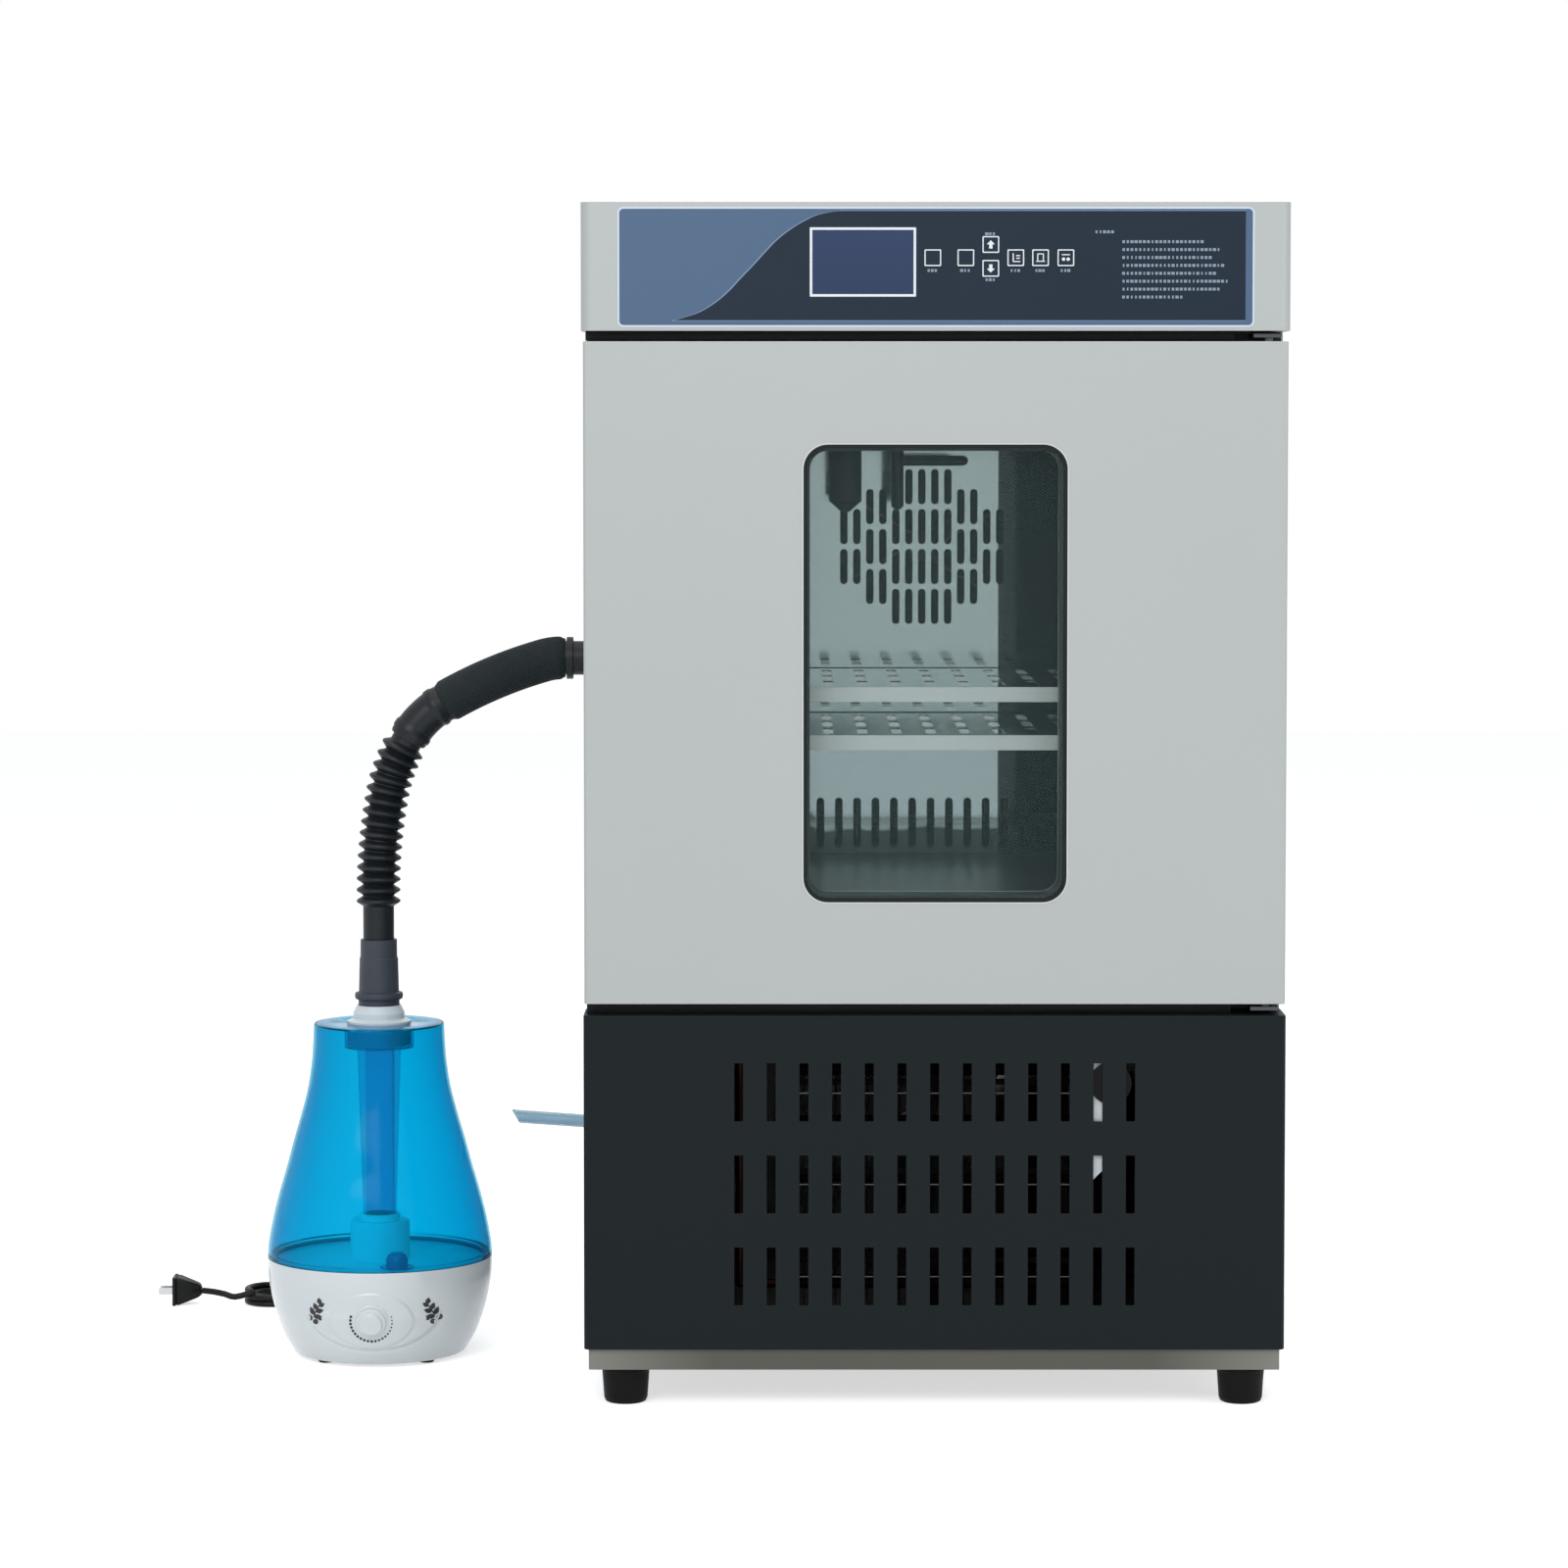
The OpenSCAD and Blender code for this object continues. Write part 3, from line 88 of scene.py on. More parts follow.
def linkPiece(mesh, body=None, finish=None, smooth=True, sharpAngle=35):
    piece = bpy.data.objects.new(mesh.name, mesh)
    scene.collection.objects.link(piece)
    if smooth:
        mesh.polygons.foreach_set("use_smooth", [True] * len(mesh.polygons))
        mesh.set_sharp_from_angle(angle=math.radians(sharpAngle))
    if finish:
        mesh.materials.append(finishes[finish])
    if body:
        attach(piece, body)
    return piece


def cleanMesh(mesh, distance=1e-5):
    bm = bmesh.new()
    bm.from_mesh(mesh)
    bmesh.ops.remove_doubles(bm, verts=bm.verts, dist=distance)
    bmesh.ops.dissolve_degenerate(bm, dist=1e-6, edges=bm.edges)
    bmesh.ops.recalc_face_normals(bm, faces=bm.faces)
    bm.to_mesh(mesh)
    bm.free()


def meshOf(name, points, faces, clean=True):
    mesh = bpy.data.meshes.new(name)
    mesh.from_pydata([mm(*p) for p in points], [], faces)
    mesh.validate()
    if clean:
        cleanMesh(mesh)
    return mesh


def meshFrom(bm, name, unit=1.0):
    # what the bmesh holds, normals outward; unit is 1000 when it was drawn in mm
    for v in bm.verts:
        v.co /= unit
    bmesh.ops.recalc_face_normals(bm, faces=bm.faces)
    mesh = bpy.data.meshes.new(name)
    bm.to_mesh(mesh)
    bm.free()
    return mesh


def smoothLine(points, steps):
    # Catmull-Rom through the points
    line = []
    for i in range(len(points) - 1):
        a = Vector(points[max(i - 1, 0)])
        b, c = Vector(points[i]), Vector(points[i + 1])
        d = Vector(points[min(i + 2, len(points) - 1)])
        for k in range(steps):
            t = k / steps
            line.append(0.5 * ((2 * b) + (c - a) * t + (2 * a - 5 * b + 4 * c - d) * t * t
                               + (3 * b - a - 3 * c + d) * t ** 3))
    line.append(Vector(points[-1]))
    return line


def softStep(t):
    t = min(max(t, 0.0), 1.0)
    return t * t * (3 - 2 * t)


def unitRing(count):
    return [(math.cos(2 * math.pi * k / count), math.sin(2 * math.pi * k / count)) for k in range(count)]


def wrapFaces(rings, n):
    # quads between rings of n points, the last ring joined to the first and each ring to itself
    return [(k * n + i, (k + 1) % rings * n + i, (k + 1) % rings * n + (i + 1) % n, k * n + (i + 1) % n)
            for k in range(rings) for i in range(n)]


def latheMesh(name, loop, centre, around=128, relief=None):
    # loop is a closed wall of (radius, height) in mm; relief(x, y, z, i) stands out from its point i
    points = []
    for c, s in unitRing(around):
        for i, (r, z) in enumerate(loop):
            r += relief(r * c, r * s, z, i) if relief else 0.0
            points.append((centre[0] + r * c, centre[1] + r * s, z))
    return meshOf(name, points, wrapFaces(around, len(loop)))


def tubeMesh(name, line, radii, around=24):
    # round tube along a line of points in mm, with a UV map: u once round it, v along it in mm
    bm = bmesh.new()
    uv = bm.loops.layers.uv.new("alongTube")
    rings, lengths, travelled = [], [], 0.0
    side = None
    for i, p in enumerate(line):
        p = Vector(p)
        a, b = Vector(line[max(i - 1, 0)]), Vector(line[min(i + 1, len(line) - 1)])
        t = (b - a).normalized()
        if side is None:
            side = t.cross(Vector((0, 0, 1)))
            if side.length < 0.1:
                side = t.cross(Vector((0, 1, 0)))
        side = (side - t * side.dot(t)).normalized()
        up = side.cross(t)
        if i:
            travelled += (p - Vector(line[i - 1])).length
        lengths.append(travelled)
        r = radii[i] if hasattr(radii, "__len__") else radii
        rings.append([bm.verts.new((p + (side * c + up * s) * r) / 1000) for c, s in unitRing(around)])
    for i in range(len(rings) - 1):
        for k in range(around):
            m = (k + 1) % around
            face = bm.faces.new((rings[i][k], rings[i][m], rings[i + 1][m], rings[i + 1][k]))
            spots = [(k, i), (k + 1, i), (k + 1, i + 1), (k, i + 1)]
            for loop, (u, v) in zip(face.loops, spots):
                loop[uv].uv = (u / around, lengths[v])
    bm.faces.new(rings[0])
    bm.faces.new(rings[-1])
    return meshFrom(bm, name)


def roundedOutline(width, height, radius, steps=8):
    line = []
    for cx, cz, start in ((1, 1, 0), (-1, 1, 90), (-1, -1, 180), (1, -1, 270)):
        for k in range(steps + 1):
            a = math.radians(start + 90 * k / steps)
            line.append((cx * (width / 2 - radius) + radius * math.cos(a),
                         cz * (height / 2 - radius) + radius * math.sin(a)))
    return line


def flatFrame(name, centre, size, line, corners, steps, depth, body, finish):
    # frame standing across the cabinet: outer size, width of its line, outer and inner corner radius
    outer = roundedOutline(*size, corners[0], steps)
    inner = roundedOutline(size[0] - 2 * line, size[1] - 2 * line, corners[1], steps)
    front, back = depth
    points = [(centre[0] + x, y, centre[1] + z)
              for outline, y in ((outer, front), (inner, front), (inner, back), (outer, back))
              for x, z in outline]
    linkPiece(meshOf(name, points, wrapFaces(4, len(outer))), body, finish, smooth=False)


def flatShape(name, outlines, front, back):
    # thin shapes standing across the cabinet, each an outline of (x, z)
    points, faces = [], []
    for outline in outlines:
        start, n = len(points), len(outline)
        points += [(x, front, z) for x, z in outline] + [(x, back, z) for x, z in outline]
        faces.append(tuple(start + i for i in range(n)))
        faces.append(tuple(start + n + i for i in reversed(range(n))))
        for i in range(n):
            j = (i + 1) % n
            faces.append((start + i, start + n + i, start + n + j, start + j))
    return meshOf(name, points, faces)


def addBox(bm, low, high):
    for v in bmesh.ops.create_cube(bm, size=1.0)["verts"]:
        for axis in range(3):
            v.co[axis] = (low[axis] + high[axis]) / 2 + v.co[axis] * (high[axis] - low[axis])


sheet = {"weld": 2e-5, "flat": 0.6, "sharp": 30, "steps": 2, "shadeAngle": 40}


def softEdged(name, node, body, finish, width):
    # a CAD piece with its edges broken, as folded and painted sheet has them
    mesh = frame["nodes"][node].data.copy()
    mesh.name = name
    mesh.materials.clear()
    bm = bmesh.new()
    bm.from_mesh(mesh)
    bmesh.ops.remove_doubles(bm, verts=bm.verts, dist=sheet["weld"])
    bmesh.ops.dissolve_limit(bm, angle_limit=math.radians(sheet["flat"]), verts=bm.verts, edges=bm.edges)
    sharp = [e for e in bm.edges
             if len(e.link_faces) == 2 and e.calc_face_angle(0) > math.radians(sheet["sharp"])]
    broken = bmesh.ops.bevel(bm, geom=sharp, offset=width / 1000, segments=sheet["steps"], profile=0.5,
                             affect="EDGES", clamp_overlap=True)["faces"]
    bm.faces.index_update()
    rounded = {face.index for face in broken}
    bm.to_mesh(mesh)
    bm.free()
    piece = linkPiece(mesh, body, finish, sharpAngle=sheet["shadeAngle"])
    for face in mesh.polygons:  # the wide flats stay flat, so no shade runs across them
        face.use_smooth = face.index in rounded
    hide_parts(node)


def feed(tree, socket, value):
    # value is a plain value, or the socket or node that it comes from; a node gives its first output
    if isinstance(value, bpy.types.Node):
        value = value.outputs[0]
    if isinstance(value, bpy.types.NodeSocket):
        tree.links.new(value, socket)
    else:
        socket.default_value = value


def addNode(tree, kind, inputs=None, **settings):
    node = tree.nodes.new(kind)
    for label, value in settings.items():
        setattr(node, label, value)
    for label, value in (inputs or {}).items():
        feed(tree, node.inputs[label], value)
    return node


def calculate(tree, operation, *values):
    return addNode(tree, "ShaderNodeMath", dict(enumerate(values)), operation=operation)


def spread(tree, source, low, high, fromLow=0.3, fromHigh=0.7):
    return addNode(tree, "ShaderNodeMapRange", {"Value": source, "From Min": fromLow, "From Max": fromHigh,
                                                "To Min": low, "To Max": high})


def noise(tree, place, size, detail):
    return addNode(tree, "ShaderNodeTexNoise",
                   {"Vector": place, "Scale": size, "Detail": detail}).outputs["Fac"]


def objectPlace(tree):
    return addNode(tree, "ShaderNodeTexCoord").outputs["Object"]


def axesOf(tree, place=None):
    return addNode(tree, "ShaderNodeSeparateXYZ", {0: place or objectPlace(tree)}).outputs


def mixColours(tree, factor, *pair):
    # each of the pair is a socket, or a colour as a screen shows it
    first, second = [screenColour(*c) if isinstance(c, tuple) else c for c in pair]
    return addNode(tree, "ShaderNodeMix", {0: factor, 6: first, 7: second}, data_type="RGBA").outputs[2]


def newTree(name, kind, inputs, outputs):
    # a node tree with named sockets, each a kind and its first value, and the sockets of its two ends
    tree = bpy.data.node_groups.new(name, kind)
    for side, sockets in (("INPUT", inputs), ("OUTPUT", outputs)):
        for label, (socketKind, *value) in sockets.items():
            socket = tree.interface.new_socket(name=label, in_out=side, socket_type="NodeSocket" + socketKind)
            if value:
                socket.default_value = value[0]
    return tree, tree.nodes.new("NodeGroupInput").outputs, tree.nodes.new("NodeGroupOutput").inputs


def textureTree(name, inputs, *outputs):
    return newTree(name, "ShaderNodeTree", inputs, {label: ("Float",) for label in outputs})


def coatGroup():
    # fine orange-peel grain, and a slow unevenness of tone
    tree, start, end = textureTree("coatTexture", {"Grain Size": ("Float", 900.0), "Mottle Size": ("Float", 6.0)},
                                   "Grain", "Mottle")
    place = objectPlace(tree)
    feed(tree, end["Grain"], noise(tree, place, start["Grain Size"], 3.0))
    feed(tree, end["Mottle"], noise(tree, place, start["Mottle Size"], 4.0))
    return tree


def brushGroup():
    # long scratches of rolled stainless sheet
    tree, start, end = textureTree("brushedLines", {"Across": ("Vector", (3.0, 3.0, 900.0)),
                                                    "Waviness": ("Float", 2.0)}, "Line", "Tone")
    place = objectPlace(tree)
    stretch = addNode(tree, "ShaderNodeVectorMath", {0: place, 1: start["Across"]}, operation="MULTIPLY")
    feed(tree, end["Line"], noise(tree, stretch, 1.0, 4.0))
    feed(tree, end["Tone"], noise(tree, place, start["Waviness"], 2.0))
    return tree


def weaveGroup():
    # rows of small knobs round a tube, from its own UV map
    tree, start, end = textureTree("sleeveWeave", {"Rows": ("Float", 1.0), "Columns": ("Float", 40.0)}, "Thread")
    along = axesOf(tree, addNode(tree, "ShaderNodeUVMap", uv_map="alongTube").outputs["UV"])
    waves = []
    for axis, rate in (("X", "Columns"), ("Y", "Rows")):
        turns = calculate(tree, "MULTIPLY", along[axis], start[rate])
        waves.append(calculate(tree, "SINE", calculate(tree, "MULTIPLY", turns, 2 * math.pi)))
    feed(tree, end["Thread"], calculate(tree, "MULTIPLY_ADD", calculate(tree, "MULTIPLY", *waves), 0.5, 0.5))
    return tree


coatTexture = coatGroup()
brushedLines = brushGroup()
sleeveWeave = weaveGroup()


def texture(tree, group, **values):
    return addNode(tree, "ShaderNodeGroup", {label.replace("_", " "): v for label, v in values.items()},
                   node_tree=group).outputs


def newFinish(name, group, **values):
    # a Principled material and the outputs of its texture group
    material = bpy.data.materials.new(name)
    material.use_nodes = True
    tree = material.node_tree
    tree.nodes.clear()
    shader = addNode(tree, "ShaderNodeBsdfPrincipled")
    addNode(tree, "ShaderNodeOutputMaterial", {"Surface": shader})
    finishes[name] = material
    return tree, shader, texture(tree, group, **values)


def dress(tree, shader, colour, rough, bump=None, **sockets):
    # bump is height, strength and distance
    feed(tree, shader.inputs["Base Color"], colour)
    feed(tree, shader.inputs["Roughness"], rough)
    if bump:
        relief = addNode(tree, "ShaderNodeBump", dict(zip(("Height", "Strength", "Distance"), bump)))
        feed(tree, shader.inputs["Normal"], relief)
    for label, value in sockets.items():
        shader.inputs[label.replace("_", " ")].default_value = value


def coatedFinish(name, colour, tint, rough, grain=900.0, mottle=6.0, bump=0.1, depth=0.00005, **sockets):
    # paint, rubber and moulded plastic: a base colour that drifts a little, and a fine grain
    tree, shader, coat = newFinish(name, coatTexture, Grain_Size=grain, Mottle_Size=mottle)
    dress(tree, shader, mixColours(tree, coat["Mottle"], colour, tint), spread(tree, coat["Mottle"], *rough),
          (coat["Grain"], bump, depth) if bump else None, **sockets)


def brushedFinish(name, colour, tint, rough, across, bump=0.12):
    tree, shader, brush = newFinish(name, brushedLines, Across=across, Waviness=3.0)
    dress(tree, shader, mixColours(tree, brush["Tone"], colour, tint), spread(tree, brush["Line"], *rough),
          (brush["Line"], bump, 0.00002), Metallic=1.0)


# colour, second colour, roughness
coatedFinish("creamPaint", (182, 185, 185), (176, 180, 179), (0.36, 0.44), grain=1400.0, mottle=3.0, bump=0.06)
coatedFinish("charcoalPaint", (21, 28, 30), (27, 32, 36), (0.42, 0.52), grain=1600.0, mottle=4.0, bump=0.12,
             Specular_IOR_Level=0.1)
coatedFinish("blackRubber", (8, 8, 9), (13, 13, 14), (0.5, 0.65), grain=1200.0, mottle=20.0, bump=0.2,
             Specular_IOR_Level=0.12)
# black rubber of the seals, also used for the strips of painted shade in the door gaps
coatedFinish("sealRubber", (14, 16, 17), (20, 23, 24), (0.4, 0.55), grain=1500.0, Specular_IOR_Level=0.2)
coatedFinish("blackPlastic", (22, 24, 26), (16, 18, 20), (0.4, 0.5), grain=1800.0, mottle=12.0,
             Specular_IOR_Level=0.35)
coatedFinish("linerPlastic", (212, 215, 213), (203, 207, 205), (0.38, 0.46))
coatedFinish("spacerPaint", (66, 76, 77), (56, 66, 67), (0.4, 0.5), grain=1200.0, mottle=30.0,
             Specular_IOR_Level=0.2)
coatedFinish("hosePlastic", (30, 34, 38), (23, 27, 31), (0.36, 0.48), grain=1500.0, mottle=25.0, bump=0.15,
             Specular_IOR_Level=0.25)
coatedFinish("cuffPlastic", (66, 71, 80), (57, 62, 71), (0.42, 0.55), grain=1500.0, mottle=30.0, bump=0.15,
             Specular_IOR_Level=0.3)
coatedFinish("fanPlastic", (58, 60, 62), (48, 50, 52), (0.4, 0.5))
coatedFinish("boardGreen", (42, 96, 62), (32, 78, 50), (0.35, 0.5), mottle=60.0)
coatedFinish("foamBlock", (228, 218, 178), (214, 200, 154), (0.8, 0.95), grain=500.0, mottle=25.0, bump=0.6,
             depth=0.0004)
coatedFinish("whitePlastic", (224, 230, 232), (216, 223, 226), (0.16, 0.24), grain=700.0, mottle=8.0,
             bump=0.03, Coat_Weight=0.3, Coat_Roughness=0.08)
coatedFinish("cordRubber", (9, 9, 10), (14, 14, 15), (0.36, 0.5), grain=1600.0, mottle=40.0,
             Specular_IOR_Level=0.2)
# painted highlight: lighter paint for the ring round the window
coatedFinish("highlightPaint", (226, 231, 229), (216, 222, 220), (0.25, 0.35))
coatedFinish("coilPaint", (9, 10, 11), (14, 15, 16), (0.5, 0.65), Specular_IOR_Level=0.12)
coatedFinish("panelRim", (206, 215, 228), (196, 206, 220), (0.3, 0.4))
coatedFinish("printedWhite", (226, 231, 236), (218, 224, 230), (0.3, 0.4))
coatedFinish("compressorPaint", (30, 31, 33), (22, 23, 25), (0.25, 0.35))
coatedFinish("printedNote", (140, 154, 170), (122, 136, 154), (0.3, 0.4))
coatedFinish("decalBlack", (12, 13, 18), (8, 9, 13), (0.35, 0.45))
coatedFinish("paneGlass", (60, 82, 82), (60, 82, 82), (0.02, 0.05), grain=40.0, mottle=5.0, bump=None, Alpha=0.1,
             Specular_IOR_Level=0.5)
coatedFinish("blueCap", (22, 92, 168), (16, 78, 150), (0.15, 0.25), Coat_Weight=0.4)
brushedFinish("dullSteel", (74, 77, 79), (58, 61, 63), (0.4, 0.55), (200, 200, 900))
brushedFinish("brightSteel", (205, 207, 208), (188, 190, 192), (0.2, 0.32), (500, 500, 900))
brushedFinish("hingeSteel", (96, 99, 101), (78, 81, 83), (0.35, 0.5), (500, 500, 900))
# painted shade: copper and fin metal made dark so they read dim behind the vents and the duct slots
brushedFinish("copperPipe", (66, 42, 30), (48, 30, 22), (0.28, 0.45), (60, 60, 60))
brushedFinish("finMetal", (70, 74, 76), (52, 56, 58), (0.35, 0.5), (40, 40, 900))
brushedFinish("stainlessSheet", (208, 226, 225), (199, 218, 217), (0.03, 0.09), (2.0, 2.0, 260.0), bump=0.01)

# where a sheet changes its tone, in metres, as the two ends of each change; several of these changes are painted
# shade, painted reflections and painted light
toneEdges = {"paintedDuctShade": (0.1430, 0.1440), "paintedFloorReflection": (0.4405, 0.4425), "paintedReflectionRight": (0.0712, 0.0726),
             "paintedReflectionFoot": (0.4770, 0.4800), "trayPaintedLightEnds": (0.19, 0.30), "displayRise": (0.952, 1.012),
             "shelfLip": (0.0012, 0.0022)}


def linerFinish():
    # drawn stainless of the chamber, with a painted dark reflection on its floor, and painted shade behind the
    # duct cover
    tree, shader, brush = newFinish("linerSheet", brushedLines, Across=(3.0, 3.0, 220.0), Waviness=2.5)
    at = axesOf(tree)
    pale = mixColours(tree, brush["Tone"], (198, 210, 206), (186, 200, 196))
    # painted reflection: darker on the chamber floor
    wall = mixColours(tree, spread(tree, at["Z"], 1.0, 0.0, *toneEdges["paintedFloorReflection"]), pale, (158, 162, 156))
    # painted shade: dark behind the duct cover, where the slots show only shade
    behind = spread(tree, at["Y"], 0.0, 1.0, *toneEdges["paintedDuctShade"])
    dress(tree, shader, mixColours(tree, behind, wall, (26, 30, 31)), spread(tree, brush["Line"], 0.3, 0.38),
          (brush["Line"], 0.02, 0.00002), Metallic=1.0)


def coverFinish():
    # mirror-bright sheet with a painted dark reflection at its right side and at its foot
    tree, shader, brush = newFinish("coverSheet", brushedLines, Across=(2.0, 2.0, 260.0), Waviness=3.0)
    uneven = texture(tree, coatTexture, Grain_Size=60.0, Mottle_Size=18.0)
    at = axesOf(tree)
    # painted reflection: darker to the right of this edge
    right = spread(tree, at["X"], 0.0, 1.0, *toneEdges["paintedReflectionRight"])
    # the foot's edge wanders with the noise
    wander = calculate(tree, "MULTIPLY_ADD", uneven["Mottle"], 0.028, at["Z"])
    # painted reflection: dark at the right side and towards the foot
    dark = calculate(tree, "MAXIMUM", right, spread(tree, wander, 1.0, 0.0, *toneEdges["paintedReflectionFoot"]))
    pale = mixColours(tree, brush["Tone"], (196, 217, 218), (187, 209, 210))
    shade = mixColours(tree, right, (84, 94, 94), (52, 61, 63))
    dress(tree, shader, mixColours(tree, dark, pale, shade), spread(tree, brush["Line"], 0.03, 0.09),
          (brush["Line"], 0.01, 0.00002), Metallic=1.0)


def shelfFinish():
    # bright tops, and satin on the folded front lip
    tree, shader, brush = newFinish("shelfSteel", brushedLines, Across=(3.0, 260.0, 260.0), Waviness=3.0)
    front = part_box("shelf_upper")[0].y
    lip = spread(tree, axesOf(tree)["Y"], 1.0, 0.0, *[front + edge for edge in toneEdges["shelfLip"]])
    rough = calculate(tree, "MULTIPLY_ADD", lip, 0.34, spread(tree, brush["Line"], 0.1, 0.16))
    dress(tree, shader, mixColours(tree, brush["Tone"], (214, 226, 225), (205, 218, 216)), rough,
          (brush["Line"], 0.02, 0.00002), Metallic=1.0)


def trayFinish():
    # mottled paint on the tray, with painted light making it lighter towards its two ends
    tree, shader, coat = newFinish("basePaint", coatTexture, Grain_Size=1400.0, Mottle_Size=14.0)
    # painted light: lighter towards both ends
    ends = spread(tree, calculate(tree, "ABSOLUTE", axesOf(tree)["X"]), 0.0, 1.0, *toneEdges["trayPaintedLightEnds"])
    trayMottle = mixColours(tree, coat["Mottle"], (72, 71, 64), (84, 82, 75))
    dress(tree, shader, mixColours(tree, ends, trayMottle, (128, 127, 120)), spread(tree, coat["Mottle"], 0.36, 0.5),
          (coat["Grain"], 0.1, 0.00004))


def tankFinish():
    # bluer where the wall is seen edge on
    tree, shader, coat = newFinish("blueTank", coatTexture, Grain_Size=260.0, Mottle_Size=9.0)
    facing = addNode(tree, "ShaderNodeLayerWeight", {"Blend": 0.35}).outputs["Facing"]
    dress(tree, shader, mixColours(tree, facing, (24, 205, 234), (2, 148, 194)),
          spread(tree, coat["Mottle"], 0.03, 0.08), (coat["Grain"], 0.03, 0.0001),
          Transmission_Weight=0.93, IOR=1.12, Specular_IOR_Level=0.3)


def displayFinish():
    # unlit blue-violet window, a little lighter towards its top
    tree, shader, coat = newFinish("displayWindow", coatTexture, Grain_Size=900.0, Mottle_Size=12.0)
    rise = spread(tree, axesOf(tree)["Z"], 0.0, 1.0, *toneEdges["displayRise"])
    dress(tree, shader, mixColours(tree, rise, (38, 56, 88), (44, 60, 94)),
          spread(tree, coat["Mottle"], 0.12, 0.2), Specular_IOR_Level=0.3)


# printed panel: a light field, and a dark one with a curved left edge; a lighter line rims the dark field,
# printed along its top and bottom, and a painted highlight of the raised edge along the curve
panelPrint = {"light": (79, 102, 130), "dark": (16, 33, 48), "edge": (116, 139, 170), "edgeWidth": 0.0016,
              "low": 0.9322, "high": 1.0248, "right": 0.2630, "curveFoot": -0.2225, "curveTop": -0.0800,
              "margin": 0.0006, "blur": 0.0002,
              "curve": ((0.025, 0.059), (0.07, 0.147), (0.16, 0.246), (0.27, 0.331), (0.384, 0.4),
                        (0.518, 0.484), (0.65, 0.562), (0.742, 0.622), (0.831, 0.696), (0.921, 0.795),
                        (0.965, 0.862))}


def panelFinish():
    tree, shader, coat = newFinish("printedPanel", coatTexture, Grain_Size=1600.0, Mottle_Size=5.0)
    at = axesOf(tree)
    low, high, foot = panelPrint["low"], panelPrint["high"], panelPrint["curveFoot"]

    def step(value, edge, before=0.0, after=1.0):
        return spread(tree, value, before, after, edge - panelPrint["blur"], edge + panelPrint["blur"])

    # the curved edge: its x against the height
    curve = addNode(tree, "ShaderNodeFloatCurve", {"Value": spread(tree, at["Z"], 0.0, 1.0, low, high)})
    for x, y in panelPrint["curve"]:
        curve.mapping.curves[0].points.new(x, y)
    curve.mapping.update()
    edge = calculate(tree, "MULTIPLY_ADD", curve, panelPrint["curveTop"] - foot, foot)
    beyond = calculate(tree, "SUBTRACT", at["X"], edge)

    def field(start, margin):
        sides = [step(beyond, start), step(at["X"], panelPrint["right"], 1.0, 0.0)]
        ends = [step(at["Z"], low - margin), step(at["Z"], high + margin, 1.0, 0.0)]
        return calculate(tree, "MULTIPLY", *[calculate(tree, "MULTIPLY", *pair) for pair in (sides, ends)])

    light = mixColours(tree, coat["Mottle"], panelPrint["light"], panelPrint["light"])
    # partly painted highlight: the light rim along the curve stands for light on the raised edge, along the top
    # and bottom it is print
    rimAndHighlight = mixColours(tree, field(-panelPrint["edgeWidth"], panelPrint["margin"]), light, panelPrint["edge"])
    dress(tree, shader, mixColours(tree, field(0.0, 0.0), rimAndHighlight, panelPrint["dark"]),
          spread(tree, coat["Mottle"], 0.3, 0.4), (coat["Grain"], 0.05, 0.00003), Specular_IOR_Level=0.25)


def sleeveFinish():
    # woven foam sleeve of the hose
    tree, shader, coat = newFinish("sleeveFoam", coatTexture, Grain_Size=900.0, Mottle_Size=30.0)
    thread = texture(tree, sleeveWeave, Rows=0.42, Columns=44.0)["Thread"]
    dress(tree, shader, mixColours(tree, thread, (26, 32, 34), (46, 54, 56)),
          spread(tree, coat["Mottle"], 0.62, 0.8), (thread, 0.9, 0.0006), Specular_IOR_Level=0.15)


for makeFinish in (linerFinish, coverFinish, shelfFinish, trayFinish, tankFinish, displayFinish, panelFinish,
                   sleeveFinish):
    makeFinish()
# clear plastics: colour, second colour, roughness, how much light goes through, bump
for name, colour, tint, rough, through, bump in (
        ("blueTube", (96, 214, 240), (84, 206, 236), (0.05, 0.1), 0.93, 0.03),
        # painted light: a pale opaque finish for the tank's floor, standing for light on it
        ("tankFloorPaintedLight", (236, 252, 254), (228, 248, 252), (0.2, 0.3), 0.0, 0.05),
        ("clearTube", (196, 220, 232), (180, 208, 224), (0.12, 0.25), 0.6, 0.1)):
    coatedFinish(name, colour, tint, rough, grain=260.0, mottle=9.0, bump=bump, depth=0.0001,
                 Transmission_Weight=through, IOR=1.2)
print("finishes ready")

